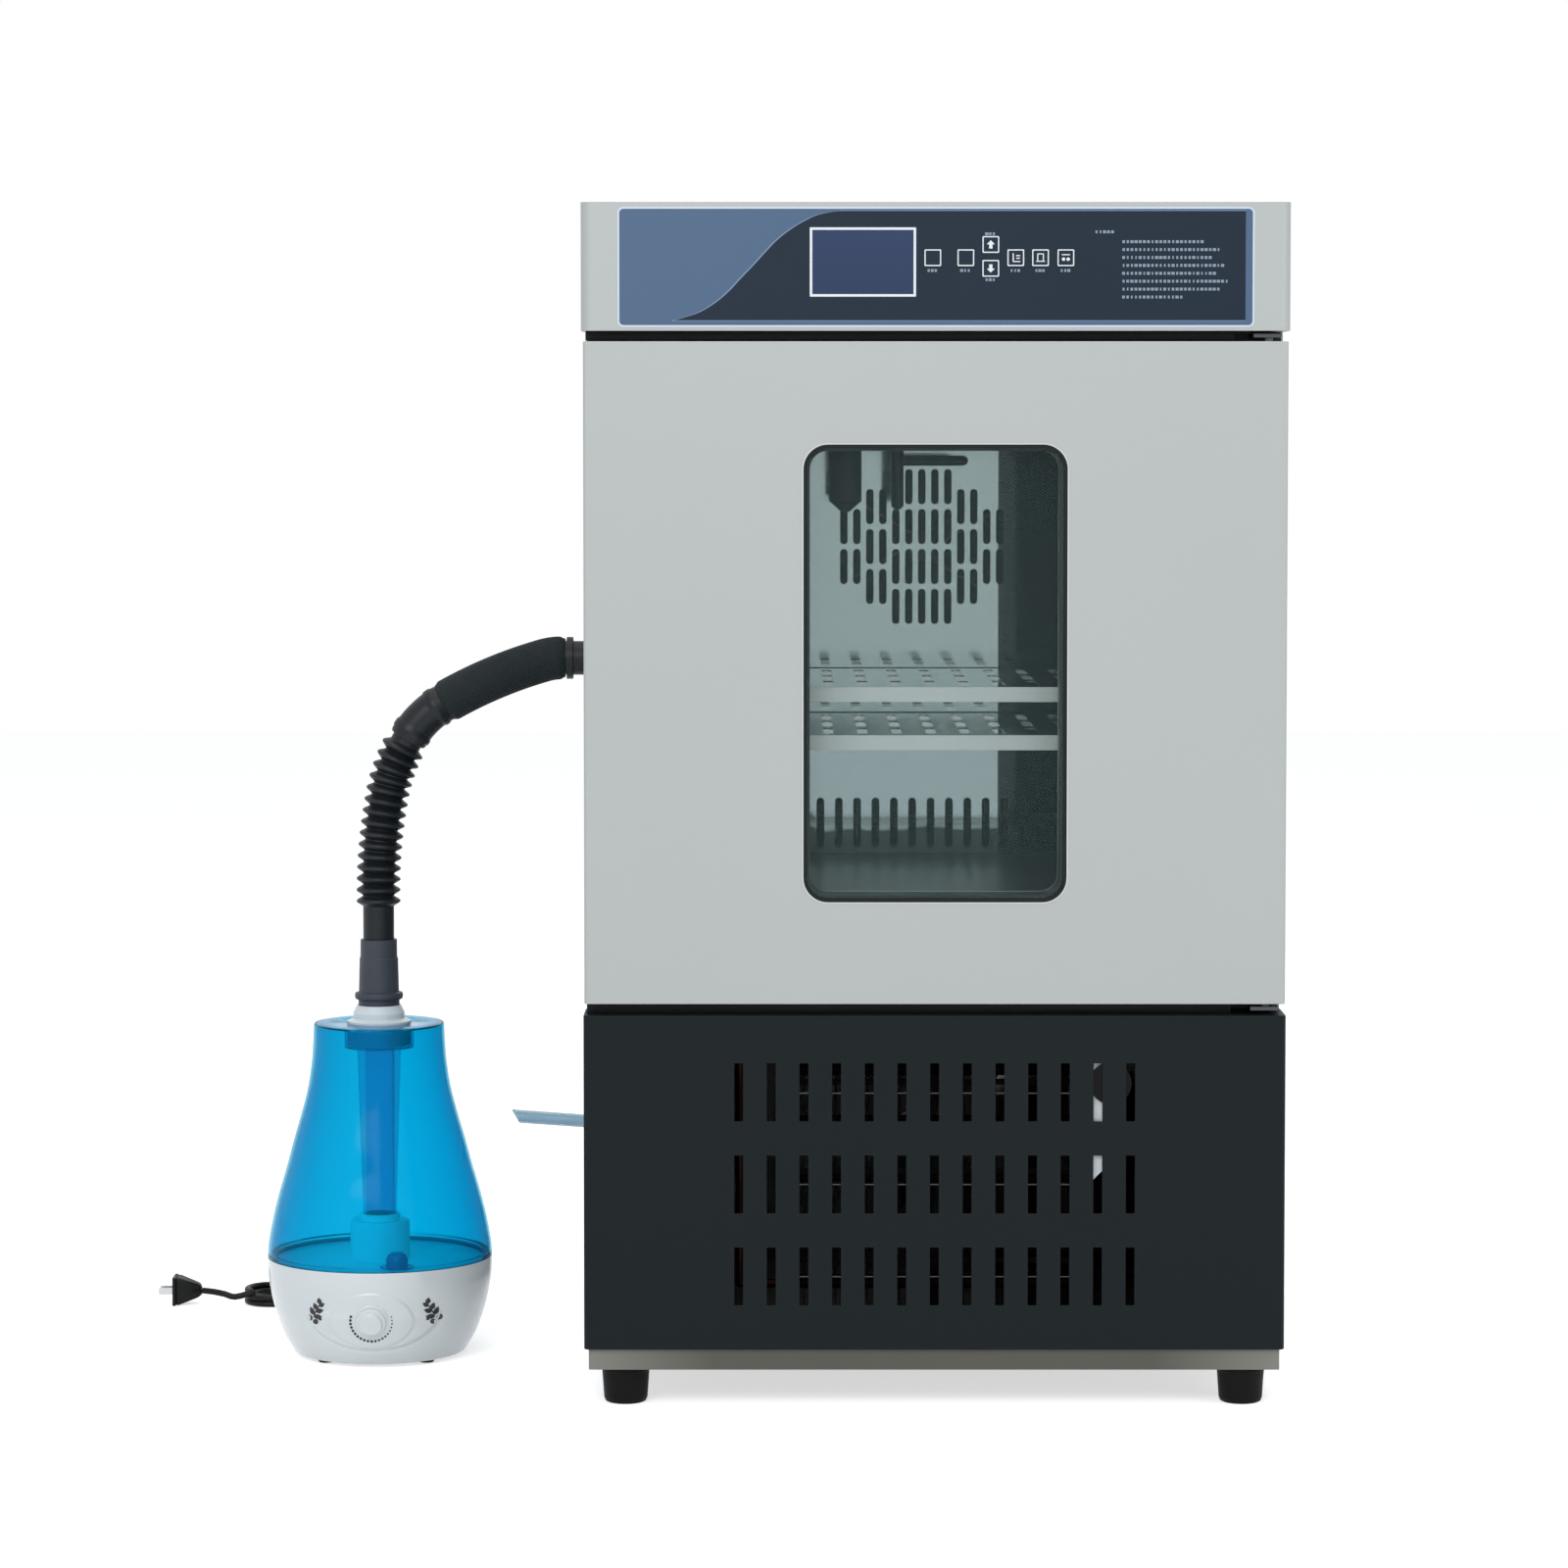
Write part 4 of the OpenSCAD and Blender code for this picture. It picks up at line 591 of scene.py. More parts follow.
plainNodes = {
    "creamPaint": ["rear_panel"], "linerSheet": ["chamber_liner"], "coverSheet": ["duct_cover"],
    "stainlessSheet": ["shelf_rails"], "foamBlock": ["insulation"], "finMetal": ["evaporator"],
    "coilPaint": ["condenser"], "clearTube": ["drain_spout"], "displayWindow": ["display"],
    "boardGreen": ["circuit_board"], "hingeSteel": ["hinge_brackets"], "compressorPaint": ["compressor"],
    "copperPipe": ["refrigerant_pipes"], "linerPlastic": ["door_liner"], "spacerPaint": ["window_frame"],
    "blueTube": ["mist_tube"], "blueCap": ["tank_cap"], "cuffPlastic": ["hose_cuff"], "brightSteel": ["screws"],
    "blueTank": ["tank_shell"], "dullSteel": ["heater", "fan_motor", "condenser_fan_motor"],
    "blackPlastic": ["front_frame", "humidity_sensor", "temperature_probe", "mains_inlet"],
    "hosePlastic": ["humidity_port", "corrugated_hose", "hose_collar"], "blackRubber": ["feet", "hose_sleeve"],
    "whitePlastic": ["basin", "nozzle", "dial", "humidifier_base"], "sealRubber": ["door_gasket", "window_seal"],
    "paneGlass": ["outer_glass", "inner_glass"], "fanPlastic": ["circulation_fan", "condenser_fan"],
    "cordRubber": ["power_cord", "cord_hank", "plug"],
    "printedPanel": ["control_panel", *["key_%d" % i for i in range(1, 8)]],
}
for finish, nodes in plainNodes.items():
    for node in nodes:
        mesh = frame["nodes"][node].data
        mesh.materials.clear()
        mesh.materials.append(finishes[finish])
print("finishes on the plain pieces")

# sheet pieces: name, finish, width of the broken edge in mm
softPieces = {
    "outer_casing": ("cabinetCasing", "creamPaint", 0.6), "console_housing": ("consoleFront", "creamPaint", 1.2),
    "door_shell": ("doorPan", "creamPaint", 0.7), "lower_front_panel": ("machinePanel", "charcoalPaint", 0.6),
    "base_frame": ("baseTray", "basePaint", 0.8),
    "shelf_upper": ("upperShelf", "shelfSteel", 0.4), "shelf_lower": ("lowerShelf", "shelfSteel", 0.4),
}
bodyOf = {node: body for body, nodes in frame["record"]["behaviour"]["bodies"].items() for node in nodes}
for node, (name, finish, width) in softPieces.items():
    softEdged(name, node, bodyOf[node], finish, width)
print("sheet pieces with broken edges")


def growthTree(name, **inputs):
    # a geometry node tree: its geometry, named inputs, and the finish of what it makes
    sockets = {label.replace("_", " "): (kind,) for label, kind in inputs.items()}
    return newTree(name, "GeometryNodeTree", {"Geometry": ("Geometry",), **sockets, "Finish": ("Material",)},
                   {"Geometry": ("Geometry",)})


def closeTree(tree, geometry, given, end):
    # real geometry in its finish, as the export needs
    real = addNode(tree, "GeometryNodeRealizeInstances", {0: geometry})
    paint = addNode(tree, "GeometryNodeSetMaterial", {"Geometry": real, "Material": given["Finish"]})
    feed(tree, end[0], paint)
    return tree


def grownMesh(name, tree, values, start=None):
    # runs a node tree on a mesh, or on an empty one, and gives back the plain result
    holder = bpy.data.objects.new(name + "Holder", start or bpy.data.meshes.new(name + "Holder"))
    scene.collection.objects.link(holder)
    modifier = holder.modifiers.new("grow", "NODES")
    modifier.node_group = tree
    for item in tree.interface.items_tree:
        if item.in_out == "INPUT" and item.name in values:
            modifier[item.identifier] = values[item.name]
    shown = holder.evaluated_get(bpy.context.evaluated_depsgraph_get())
    mesh = bpy.data.meshes.new_from_object(shown)
    mesh.name = name
    holder.modifiers.remove(modifier)
    bpy.data.objects.remove(holder)
    return mesh


def combined(tree, **axes):
    return addNode(tree, "ShaderNodeCombineXYZ", axes)


def randomFloat(tree, low, high, seed):
    node = addNode(tree, "FunctionNodeRandomValue", {"Seed": seed}, data_type="FLOAT")
    for socket, value in zip([s for s in node.inputs if s.type == "VALUE"], (low, high)):
        feed(tree, socket, value)
    return [s for s in node.outputs if s.type == "VALUE"][0]


def instances(tree, points, shape, **inputs):
    return addNode(tree, "GeometryNodeInstanceOnPoints", {"Points": points, "Instance": shape, **inputs})


# pan-head screws: shares of the head's height and radius
screwHead = {"sides": 32, "rim": 0.6, "crown": 0.4, "crownTop": 0.78, "recess": (1.15, 0.24), "recessDepth": 0.6,
             "recessAt": 0.95, "radius": 0.004, "height": 0.0022, "seed": 7}


def screwTree():
    # a head with a cross recess at each point, turned by chance about its axis
    tree, given, end = growthTree("panScrews", Head_Radius="Float", Head_Height="Float", Turn="Rotation",
                                  Seed="Int")

    def tall(share):
        return calculate(tree, "MULTIPLY", given["Head Height"], share)

    def wide(share):
        return calculate(tree, "MULTIPLY", given["Head Radius"], share)

    def solid(kind, share, inputs):
        # its middle raised by a share of the head's height
        raised = {"Geometry": addNode(tree, kind, inputs), "Translation": combined(tree, Z=tall(share))}
        return addNode(tree, "GeometryNodeTransform", raised)

    rim, crown, sides = screwHead["rim"], screwHead["crown"], screwHead["sides"]
    low = solid("GeometryNodeMeshCylinder", rim / 2, {"Vertices": sides, "Radius": given["Head Radius"],
                                                      "Depth": tall(rim)})
    high = solid("GeometryNodeMeshCone", rim, {"Vertices": sides, "Radius Top": wide(screwHead["crownTop"]),
                                               "Radius Bottom": given["Head Radius"], "Depth": tall(crown)})
    cut = addNode(tree, "GeometryNodeMeshBoolean", {"Mesh 1": high}, operation="DIFFERENCE")
    for across, along in (screwHead["recess"], screwHead["recess"][::-1]):
        size = combined(tree, X=wide(across), Y=wide(along), Z=tall(screwHead["recessDepth"]))
        feed(tree, cut.inputs["Mesh 2"], solid("GeometryNodeMeshCube", screwHead["recessAt"], {"Size": size}))
    whole = addNode(tree, "GeometryNodeJoinGeometry", {0: low})
    feed(tree, whole.inputs[0], cut)
    about = combined(tree, Z=randomFloat(tree, 0.0, 2 * math.pi, given["Seed"]))
    own = addNode(tree, "FunctionNodeEulerToRotation", {0: about})
    turn = addNode(tree, "FunctionNodeRotateRotation", {"Rotation": given["Turn"], "Rotate By": own},
                   rotation_space="LOCAL")
    return closeTree(tree, instances(tree, given["Geometry"], whole, Rotation=turn), given, end)


screwSpots = {"cover": [(x, 142.0, z) for x in (-208, 208) for z in (455, 650, 845)],
              "rear": [(x * 290, 280.0, 90 + k * 233.0) for x in (-1, 0, 1) for k in range(5) if x or k == 4]}
tree = screwTree()
for name, quarter in (("cover", 90), ("rear", -90)):
    spots = meshOf(name + "Spots", screwSpots[name], [], clean=False)
    mesh = grownMesh(name + "Screws", tree, {
        "Head Radius": screwHead["radius"], "Head Height": screwHead["height"], "Seed": screwHead["seed"],
        "Turn": (math.radians(quarter), 0.0, 0.0), "Finish": finishes["brightSteel"]}, spots)
    piece = linkPiece(mesh, "cabinet", sharpAngle=30)
    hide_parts("screws")

# temperature probe: a slim stem under the ceiling, its bulb lying across; the bulb's far end as (reach, radius)
probe = {"x": -28.0, "radius": 5.5, "tip": ((-3.0, 0.5), (0.0, 3.5)), "core": 0.05, "bulbHeight": 812.0,
         "bulbRadius": 4.6, "bulbEnd": ((29.0, 4.6), (31.5, 4.3), (33.5, 3.3), (35.0, 1.2))}
low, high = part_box("temperature_probe")
r, tip, top, y = probe["radius"], low.z * 1000, high.z * 1000, (low.y + high.y) * 500
stemLoop = [(probe["core"], tip), *[(r + out, tip + up) for out, up in probe["tip"]], (r, top),
            (probe["core"], top)]
bulb = [(probe["x"], probe["bulbRadius"]), (0, probe["bulbRadius"]), *probe["bulbEnd"]]
for mesh in (latheMesh("probeStem", stemLoop, (probe["x"], y), 48),
             tubeMesh("probeBulb", [(x, y, probe["bulbHeight"]) for x, _ in bulb], [r for _, r in bulb], 32)):
    piece = linkPiece(mesh, "cabinet", "blackPlastic")
    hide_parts("temperature_probe")

# painted highlight: a thin ring of lighter paint round the window opening in the door's skin, standing for its
# edge catching light
window = {"line": 0.9, "out": 0.35, "clear": 0.2, "corners": (21.9, 21.0), "back": -279.8}
frontY = -280.0
low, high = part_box("window_seal")
size = [(high[axis] - low[axis]) * 1000 + window["clear"] + 2 * window["line"] for axis in (0, 2)]
flatFrame("windowHighlightRing", ((low.x + high.x) * 500, (low.z + high.z) * 500), size, window["line"],
          window["corners"], 10, (frontY - window["out"], window["back"]), "door", "highlightPaint")

# painted shade: black strips fill the gaps under the console and over the machine panel, clear of the door
gap = {"across": (-298.5, 255.0), "deep": (-262.0, -256.0), "heights": ((916.0, 923.8), (338.2, 347.0)),
       "edge": 0.4}
bm = bmesh.new()
for bottom, top in gap["heights"]:
    addBox(bm, (gap["across"][0], gap["deep"][0], bottom), (gap["across"][1], gap["deep"][1], top))
bmesh.ops.bevel(bm, geom=list(bm.edges), offset=gap["edge"], segments=2, profile=0.5, affect="EDGES",
                clamp_overlap=True)
linkPiece(meshFrom(bm, "gapShadeStrips", 1000), "cabinet", "sealRubber")


def disc(x, z, r, n=16):
    return [(x + r * c, z + r * s) for c, s in unitRing(n)]


# what the vents give a glimpse of: guard wires on the panel's back, and a pale relay box with its round clip
vent = {"wires": (271.6, 192.8, 113.1), "reach": 118.0, "radius": 0.6, "panelBack": -278.5, "sunk": 0.1,
        "plate": [(131, 191), (158, 218), (158, 334), (131, 334)], "gap": 4.0, "depth": 26.0,
        "clip": (150.9, 280.0, 17.9)}
for i, z in enumerate(vent["wires"], 1):
    y = vent["panelBack"] + vent["radius"] - vent["sunk"]
    line = [(x, y, z) for x in (-vent["reach"], 0, vent["reach"])]
    linkPiece(tubeMesh("guardWire%d" % i, line, vent["radius"], 10), "cabinet", "dullSteel")
face = vent["panelBack"] + vent["gap"]
plate = flatShape("relayBox", [vent["plate"]], face, face + vent["depth"])
linkPiece(plate, "cabinet", "whitePlastic", smooth=False)
clip = flatShape("relayClip", [disc(*vent["clip"], 48)], vent["panelBack"] - vent["sunk"], face + vent["sunk"])
linkPiece(clip, "cabinet", "blackRubber")

# marks printed on the console: frames, key signs, plain rules
printedFrames = {  # centre, size, line, corner radii, corner steps, how proud and how deep, finish
    "displayFrame": ((-62, 981.6), (90.2, 58.6), 2.1, (0.6, 0.3), 2, (0.12, 0.1), "printedWhite"),
    "panelEdge": ((0, 977.4), (541.0, 101.8), 1.7, (5.2, 3.5), 6, (0.35, 0.3), "panelRim"),
}
for name, (*shape, (proud, deep), finish) in printedFrames.items():
    flatFrame(name, *shape, (frontY - proud, frontY + deep), "cabinet", finish)


def bar(x, z, w, h):
    return [(x - w / 2, z - h / 2), (x + w / 2, z - h / 2), (x + w / 2, z + h / 2), (x - w / 2, z + h / 2)]


def arrow(up):
    shape = [(0, 3.6), (3.4, 0.2), (1.4, 0.2), (1.4, -3.4), (-1.4, -3.4), (-1.4, 0.2), (-3.4, 0.2)]
    return [(x, z * up) for x, z in shape]


keySigns = {
    3: [arrow(1)], 4: [arrow(-1)],
    5: [bar(-2.2, 0.6, 1.0, 6.4), bar(2.0, 1.8, 3.4, 0.9), bar(2.0, -0.4, 3.4, 0.9), bar(0.6, -3.2, 6.4, 0.9)],
    6: [bar(0, 3.2, 5.6, 0.9), bar(-2.4, 0.2, 0.9, 5.4), bar(2.4, 0.2, 0.9, 5.4), bar(0, -3.0, 7.4, 0.9)],
    7: [bar(0, 2.6, 7.0, 0.9), disc(-2.0, -1.2, 1.5), disc(2.0, -1.2, 1.5)],
}
keySpots = [(-2.7, 985.2), (25.3, 985.2), (46.5, 996.4), (46.5, 976.2), (67.7, 985.2), (88.7, 985.2),
            (110.2, 985.2)]
keyMark = {"proud": 0.6, "size": (14.2, 14.2), "line": 1.0, "corners": (0.8, 0.5)}
face = frontY - keyMark["proud"]
for i, (x, z) in enumerate(keySpots, 1):
    flatFrame("keyOutline%d" % i, (x, z), keyMark["size"], keyMark["line"], keyMark["corners"], 2,
              (face - 0.1, face + 0.1), "button_%d" % i, "printedWhite")
    if i in keySigns:
        outlines = [[(x + a, z + b) for a, b in sign] for sign in keySigns[i]]
        linkPiece(flatShape("keySign%d" % i, outlines, face - 0.08, face + 0.1), "button_%d" % i, "printedWhite",
                  smooth=False)
print("console marks")


def noteTree():
    # short dashes in a row, their lengths by chance: what is left of a printed line at this size
    tree, given, end = growthTree("noteDashes", Dash_Height="Float", Shortest="Float", Longest="Float",
                                  Seed="Int")
    dash = addNode(tree, "GeometryNodeMeshCube", {"Size": (1.0, 0.0002, 1.0)})
    width = randomFloat(tree, given["Shortest"], given["Longest"], given["Seed"])
    scale = combined(tree, X=width, Y=1.0, Z=given["Dash Height"])
    return closeTree(tree, instances(tree, given["Geometry"], dash, Scale=scale), given, end)


# rows of the printed notes: left end, right end, height of the row, dash pitch
noteRows = [(157.5, 251.8 - (i * 37 % 5) * 4 - (24 if i in (0, 7) else 0), 998.8 - i * 6.69, 3.5)
            for i in range(8)]
noteRows += [(134.4, 152.6, 1007.1, 3.4)]
noteRows += [(x - 5, x + 5, 974.4, 3.0) for x in (-2.7, 25.3, 67.7, 88.7, 110.2)]
noteRows += [(41.5, 51.5, 1005.4, 3.0), (41.5, 51.5, 966.6, 3.0)]
spots = [(left + pitch * (i + 0.5), frontY - 0.05, z) for left, right, z, pitch in noteRows
         for i in range(int((right - left) / pitch))]
dashes = {"Dash Height": 0.0024, "Shortest": 0.0012, "Longest": 0.0029, "Seed": 11,
          "Finish": finishes["printedNote"]}
mesh = grownMesh("noteDashes", noteTree(), dashes, meshOf("noteSpots", spots, [], clean=False))
linkPiece(mesh, "cabinet", smooth=False)

# humidifier: outlines as (radius, height), the tank's foot and neck from outside to inside
mistAxis = (-497.0, -31.0)
tank = {"outline": [(59, 302.5), (59.8, 286), (61, 269), (64.5, 245), (70.5, 221), (77.5, 197),
                    (84, 173), (91, 149), (97, 125), (101, 103), (102, 90)], "wall": 2.5, "wallSpan": (93, 299.5),
        "rim": [(56.5, 302.5), (58.4, 302.2)],
        "foot": [(101.6, 90), (97, 90), (96.8, 85.4), (96, 85), (24.5, 85), (24.5, 119.5), (15, 119.5), (15, 128),
                 (18, 128), (18, 122), (25.5, 122), (27, 120.5), (27, 87.5), (94.2, 87.5), (94.5, 93)],
        "neck": [(56, 300), (31.5, 300), (31.5, 280), (20, 280), (20, 280.8), (22.1, 280.8), (22.1, 282.5),
                 (29, 282.5), (29, 302.2), (29.6, 302.5)],
        "floor": (0.0885, 95), "chimney": (0.13, 28)}


def smoothProfile(outline, steps):
    return [(p.x, p.y) for p in smoothLine([(r, z, 0) for r, z in outline], steps)]


outside = smoothProfile(tank["outline"], 8)
inside = [(r - tank["wall"], z) for r, z in reversed(outside) if tank["wallSpan"][0] < z < tank["wallSpan"][1]]
tankLoop = tank["rim"] + outside[1:] + tank["foot"] + inside + tank["neck"]
tankPiece = linkPiece(latheMesh("tankShell", tankLoop, mistAxis, 160), "tank", "blueTank")
# painted light: the tank's floor and chimney get the pale opaque finish so they read as lit
tankPiece.data.materials.append(finishes["tankFloorPaintedLight"])
for face in tankPiece.data.polygons:
    reach = math.hypot(face.center.x * 1000 - mistAxis[0], face.center.y * 1000 - mistAxis[1])
    if any(face.center.z < height and reach < radius for height, radius in (tank["floor"], tank["chimney"])):
        face.material_index = 1
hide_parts("tank_shell")
print("tank")

base = {"outline": [(102, 90), (101.6, 76), (99.6, 62), (96.6, 48), (92.4, 34), (86.5, 19), (78, 5)],
        "under": [(76, 3.6), (73, 3.5), (0.5, 3.5)],
        "inside": [(0.5, 6), (73, 6), (83, 20), (89, 36), (93, 50), (96, 66), (97, 77.5), (53, 78), (53, 84.6),
                   (97.3, 84.6), (97.4, 89.4), (98.2, 90)],
        "dialHeight": 46.0, "dialTilt": 16.0, "dialReach": 95.5, "lip": 1.6, "groove": 1.6, "oval": (36.5, 25.5),
        "smile": (61.0, 37.5, 56.0)}
profile = smoothProfile(base["outline"], 18)


def baseRadius(z):
    for (r1, z1), (r0, z0) in zip(profile, profile[1:]):
        if z0 <= z <= z1:
            return r0 + (r1 - r0) * (z - z0) / (z1 - z0)
    return profile[0][0] if z > profile[0][1] else profile[-1][0]


def baseRelief(x, y, z, i=0):
    # how far the front stands out: a smile-shaped apron, and an oval pad on it round the dial
    if y > 0 or i >= len(profile):
        return 0.0
    a, b, top = base["smile"]
    d = math.hypot(x / a, (z - top) / b) - 1.0 if z < top else 1.0
    relief = base["lip"] * softStep(0.5 - d * 26) * softStep((top - z) / 10)
    relief -= base["groove"] * math.exp(-((d - 0.03) * 22) ** 2) * softStep((top - z) / 16)
    oval = math.hypot(x / base["oval"][0], (z - base["dialHeight"]) / base["oval"][1]) - 1.0
    below = softStep((base["dialHeight"] - z) / 16)
    relief -= 0.6 * base["groove"] * math.exp(-((oval - 0.04) * 20) ** 2) * below
    return relief + 1.0 * softStep(0.5 - oval * 16)


mesh = latheMesh("mistBase", profile + base["under"] + base["inside"], mistAxis, 480, baseRelief)
basePiece = linkPiece(mesh, "cabinet", "whitePlastic", sharpAngle=50)
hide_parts("humidifier_base")

# four rubber feet on a circle under the base
foot = {"reach": 64, "outline": [(0.2, 0.0), (6.0, 0.0), (7.0, 1.0), (7.0, 4.2), (0.2, 4.2)]}
for k in range(4):
    angle = math.radians(45 + 90 * k)
    spot = (mistAxis[0] + foot["reach"] * math.cos(angle), mistAxis[1] + foot["reach"] * math.sin(angle))
    linkPiece(latheMesh("mistFoot%d" % k, foot["outline"], spot, 40), "cabinet", "blackRubber")


def dialPoint(x, y, out):
    # point on the dial's own plane: x across, y up along it, out of the front
    tilt = math.radians(base["dialTilt"])
    outward = Vector((0, -math.cos(tilt), -math.sin(tilt)))
    up = Vector((0, -math.sin(tilt), math.cos(tilt)))
    centre = Vector((mistAxis[0], mistAxis[1] - base["dialReach"], base["dialHeight"]))
    return centre + Vector((1, 0, 0)) * x + up * y + outward * out


def dialRing(name, loop, body, around=72):
    # loop is (radius, distance out of the front)
    points = [tuple(dialPoint(r * c, r * s, out)) for c, s in unitRing(around) for r, out in loop]
    return linkPiece(meshOf(name, points, wrapFaces(around, len(loop))), body, "whitePlastic")


dialRing("dialSeat", [(4, -6), (16.2, -6), (16.2, 1.6), (15.4, 2.4), (4, 2.4)], "cabinet")
knob = dialRing("dialKnob", [(0.3, 2.6), (13.5, 2.6), (13.5, 4.2), (12.6, 5.2), (10.6, 5.4), (10.2, 6.0),
                             (10.0, 8.2), (9.2, 9.0), (0.3, 9.2)], "mist_dial")
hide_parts("dial")


def onBase(x, z, lift=0.35):
    # a point of the humidifier's front that lies over (x, z), x measured from its axis
    r = baseRadius(z) + (baseRelief(x, -1.0, z) + lift)
    return (mistAxis[0] + x, mistAxis[1] - math.sqrt(max(r * r - x * x, 0.0)), z)


def dotTree():
    # growing dots on an arc in the dial's own plane
    tree, given, end = growthTree("growingDots", Dots="Int", Ring_Radius="Float", Start="Float", Sweep="Float",
                                  Smallest="Float", Largest="Float")
    row = addNode(tree, "GeometryNodeMeshLine", {"Count": given["Dots"]})
    index = addNode(tree, "GeometryNodeInputIndex")
    share = calculate(tree, "DIVIDE", index, calculate(tree, "SUBTRACT", given["Dots"], 1.0))
    turn = calculate(tree, "MULTIPLY_ADD", share, given["Sweep"], given["Start"])
    x, y = [calculate(tree, "MULTIPLY", calculate(tree, wave, turn), given["Ring Radius"])
            for wave in ("COSINE", "SINE")]
    arc = addNode(tree, "GeometryNodeSetPosition", {"Geometry": row, "Position": combined(tree, X=x, Y=y)})
    dot = addNode(tree, "GeometryNodeMeshCylinder", {"Vertices": 14, "Radius": 1.0, "Depth": 0.3})
    size = spread(tree, share, given["Smallest"], given["Largest"], 0.0, 0.5)
    return closeTree(tree, instances(tree, arc, dot, Scale=size), given, end)


dots = {"Dots": 21, "Ring Radius": 0.0186, "Start": math.radians(14), "Sweep": math.radians(-208),
        "Smallest": 0.00055, "Largest": 0.0012, "Finish": finishes["decalBlack"]}
mesh = grownMesh("dialDots", dotTree(), dots)
for v in mesh.vertices:
    lift = 0.45 if v.co.z > 0 else -0.25
    v.co = Vector(onBase(v.co.x * 1000, base["dialHeight"] + v.co.y * 1000, lift)) / 1000
linkPiece(mesh, "cabinet", smooth=False)

# sprigs: the stem's length, slope and width, leaves as (share of the stem, angle, length), buds as (x, z, radius)
sprig = {"height": 48, "at": ((-53, 1), (56, -1)), "stem": (17, 62, 1.3), "leafWidth": 4.5,
         "leaves": ((0.0, 5, 8.5), (0.1, 118, 8.0), (0.32, 15, 7.5), (0.42, 112, 7.0), (0.68, 28, 6.0),
                    (0.8, 100, 6.0)),
         "buds": ((-3.4, -1.6, 2.8), (2.0, -4.6, 2.5), (6.4, -1.6, 1.5))}


def leafShape(x, z, length, width, angle):
    pts = [(k / 6 * length, width / 2 * math.sin(math.pi * (k / 6) ** 0.8)) for k in range(7)]
    pts += [(a, -b) for a, b in reversed(pts[1:-1])]
    c, s = math.cos(math.radians(angle)), math.sin(math.radians(angle))
    return [(x + a * c - b * s, z + a * s + b * c) for a, b in pts]


def sprigShapes(x, z, flip):
    # a stem with leaves and round buds; flip is 1, or -1 for the mirrored one
    length, slope, width = sprig["stem"]
    shapes = [leafShape(x, z, length, width, slope if flip > 0 else 180 - slope)]
    for share, angle, size in sprig["leaves"]:
        dx, dz = [length * share * wave(math.radians(slope)) for wave in (math.cos, math.sin)]
        shapes.append(leafShape(x + flip * dx, z + dz, size, sprig["leafWidth"],
                                angle if flip > 0 else 180 - angle))
    return shapes + [disc(x + flip * dx, z + dz, radius, 14) for dx, dz, radius in sprig["buds"]]


points, faces = [], []
for x0, flip in sprig["at"]:
    for shape in sprigShapes(x0, sprig["height"], flip):
        start = len(points)
        points += [onBase(x, z) for x, z in shape]
        faces.append(tuple(range(start, start + len(shape))))
linkPiece(meshOf("sprigMarks", points, faces, clean=False), "cabinet", "decalBlack", smooth=False)
print("humidifier base")

# hose from the port to the tank
hose = {"start": -330.0, "level": 633.5, "bends": [(60, 16), (403, 14), (90, 30), (160, 19)],
        "foot": 366.0, "plainTop": 408.0, "ridges": 15, "plain": 14.0, "ridge": 20.0, "sleeve": 19.5,
        "collar": 17.0, "sleeveStart": -3.0, "sleeveEdge": 2.2}


def hoseBends():
    # the last bend ends straight above the tank
    x, turn = hose["start"], 0.0
    for radius, angle in hose["bends"]:
        x -= radius * (math.sin(math.radians(turn + angle)) - math.sin(math.radians(turn)))
        turn += angle
    last = (x - mistAxis[0]) / (1 - math.sin(math.radians(turn)))
    return hose["bends"] + [(last, 90 - turn)]


allBends = hoseBends()
bendLengths = [r * math.radians(a) for r, a in allBends]


def hosePoint(s):
    x, z, turn = hose["start"], hose["level"], 0.0
    if s <= 0:
        return Vector((x - s, mistAxis[1], z))
    for (r, _), length in zip(allBends, bendLengths):
        a = turn + min(s, length) / r
        x -= r * (math.sin(a) - math.sin(turn))
        z -= r * (math.cos(turn) - math.cos(a))
        turn = a
        s -= min(s, length)
        if s <= 0:
            return Vector((x, mistAxis[1], z))
    return Vector((x, mistAxis[1], z - s))


def hoseLine(start, end, steps):
    return [hosePoint(start + (end - start) * i / steps) for i in range(steps + 1)]


bentLength = sum(bendLengths)
bentHeight = hosePoint(bentLength).z
sleeveEnd = bendLengths[0] + bendLengths[1]
collarEnd = sleeveEnd + bendLengths[2]
footEnd = bentLength + bentHeight - hose["foot"]
ridgeEnd = bentLength + bentHeight - hose["plainTop"]

sleeveLength = sleeveEnd - hose["sleeveStart"]
radii = [hose["sleeve"] - hose["sleeveEdge"] * (1 - softStep(min(i, 60 - i) / 60 * sleeveLength / 5.0))
         for i in range(61)]
mesh = tubeMesh("hoseSleeve", hoseLine(hose["sleeveStart"], sleeveEnd, 60), radii, 64)
sleevePiece = linkPiece(mesh, "cabinet", "sleeveFoam")
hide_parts("hose_sleeve")

radii = [hose["collar"] - (1.0 if i in (0, 24) else 0.0) + (1.5 if 2 < i < 6 or 18 < i < 22 else 0.4)
         for i in range(25)]
mesh = tubeMesh("hoseCollar", hoseLine(sleeveEnd - 0.5, collarEnd, 24), radii, 64)
collarPiece = linkPiece(mesh, "cabinet", "hosePlastic")
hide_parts("hose_collar")


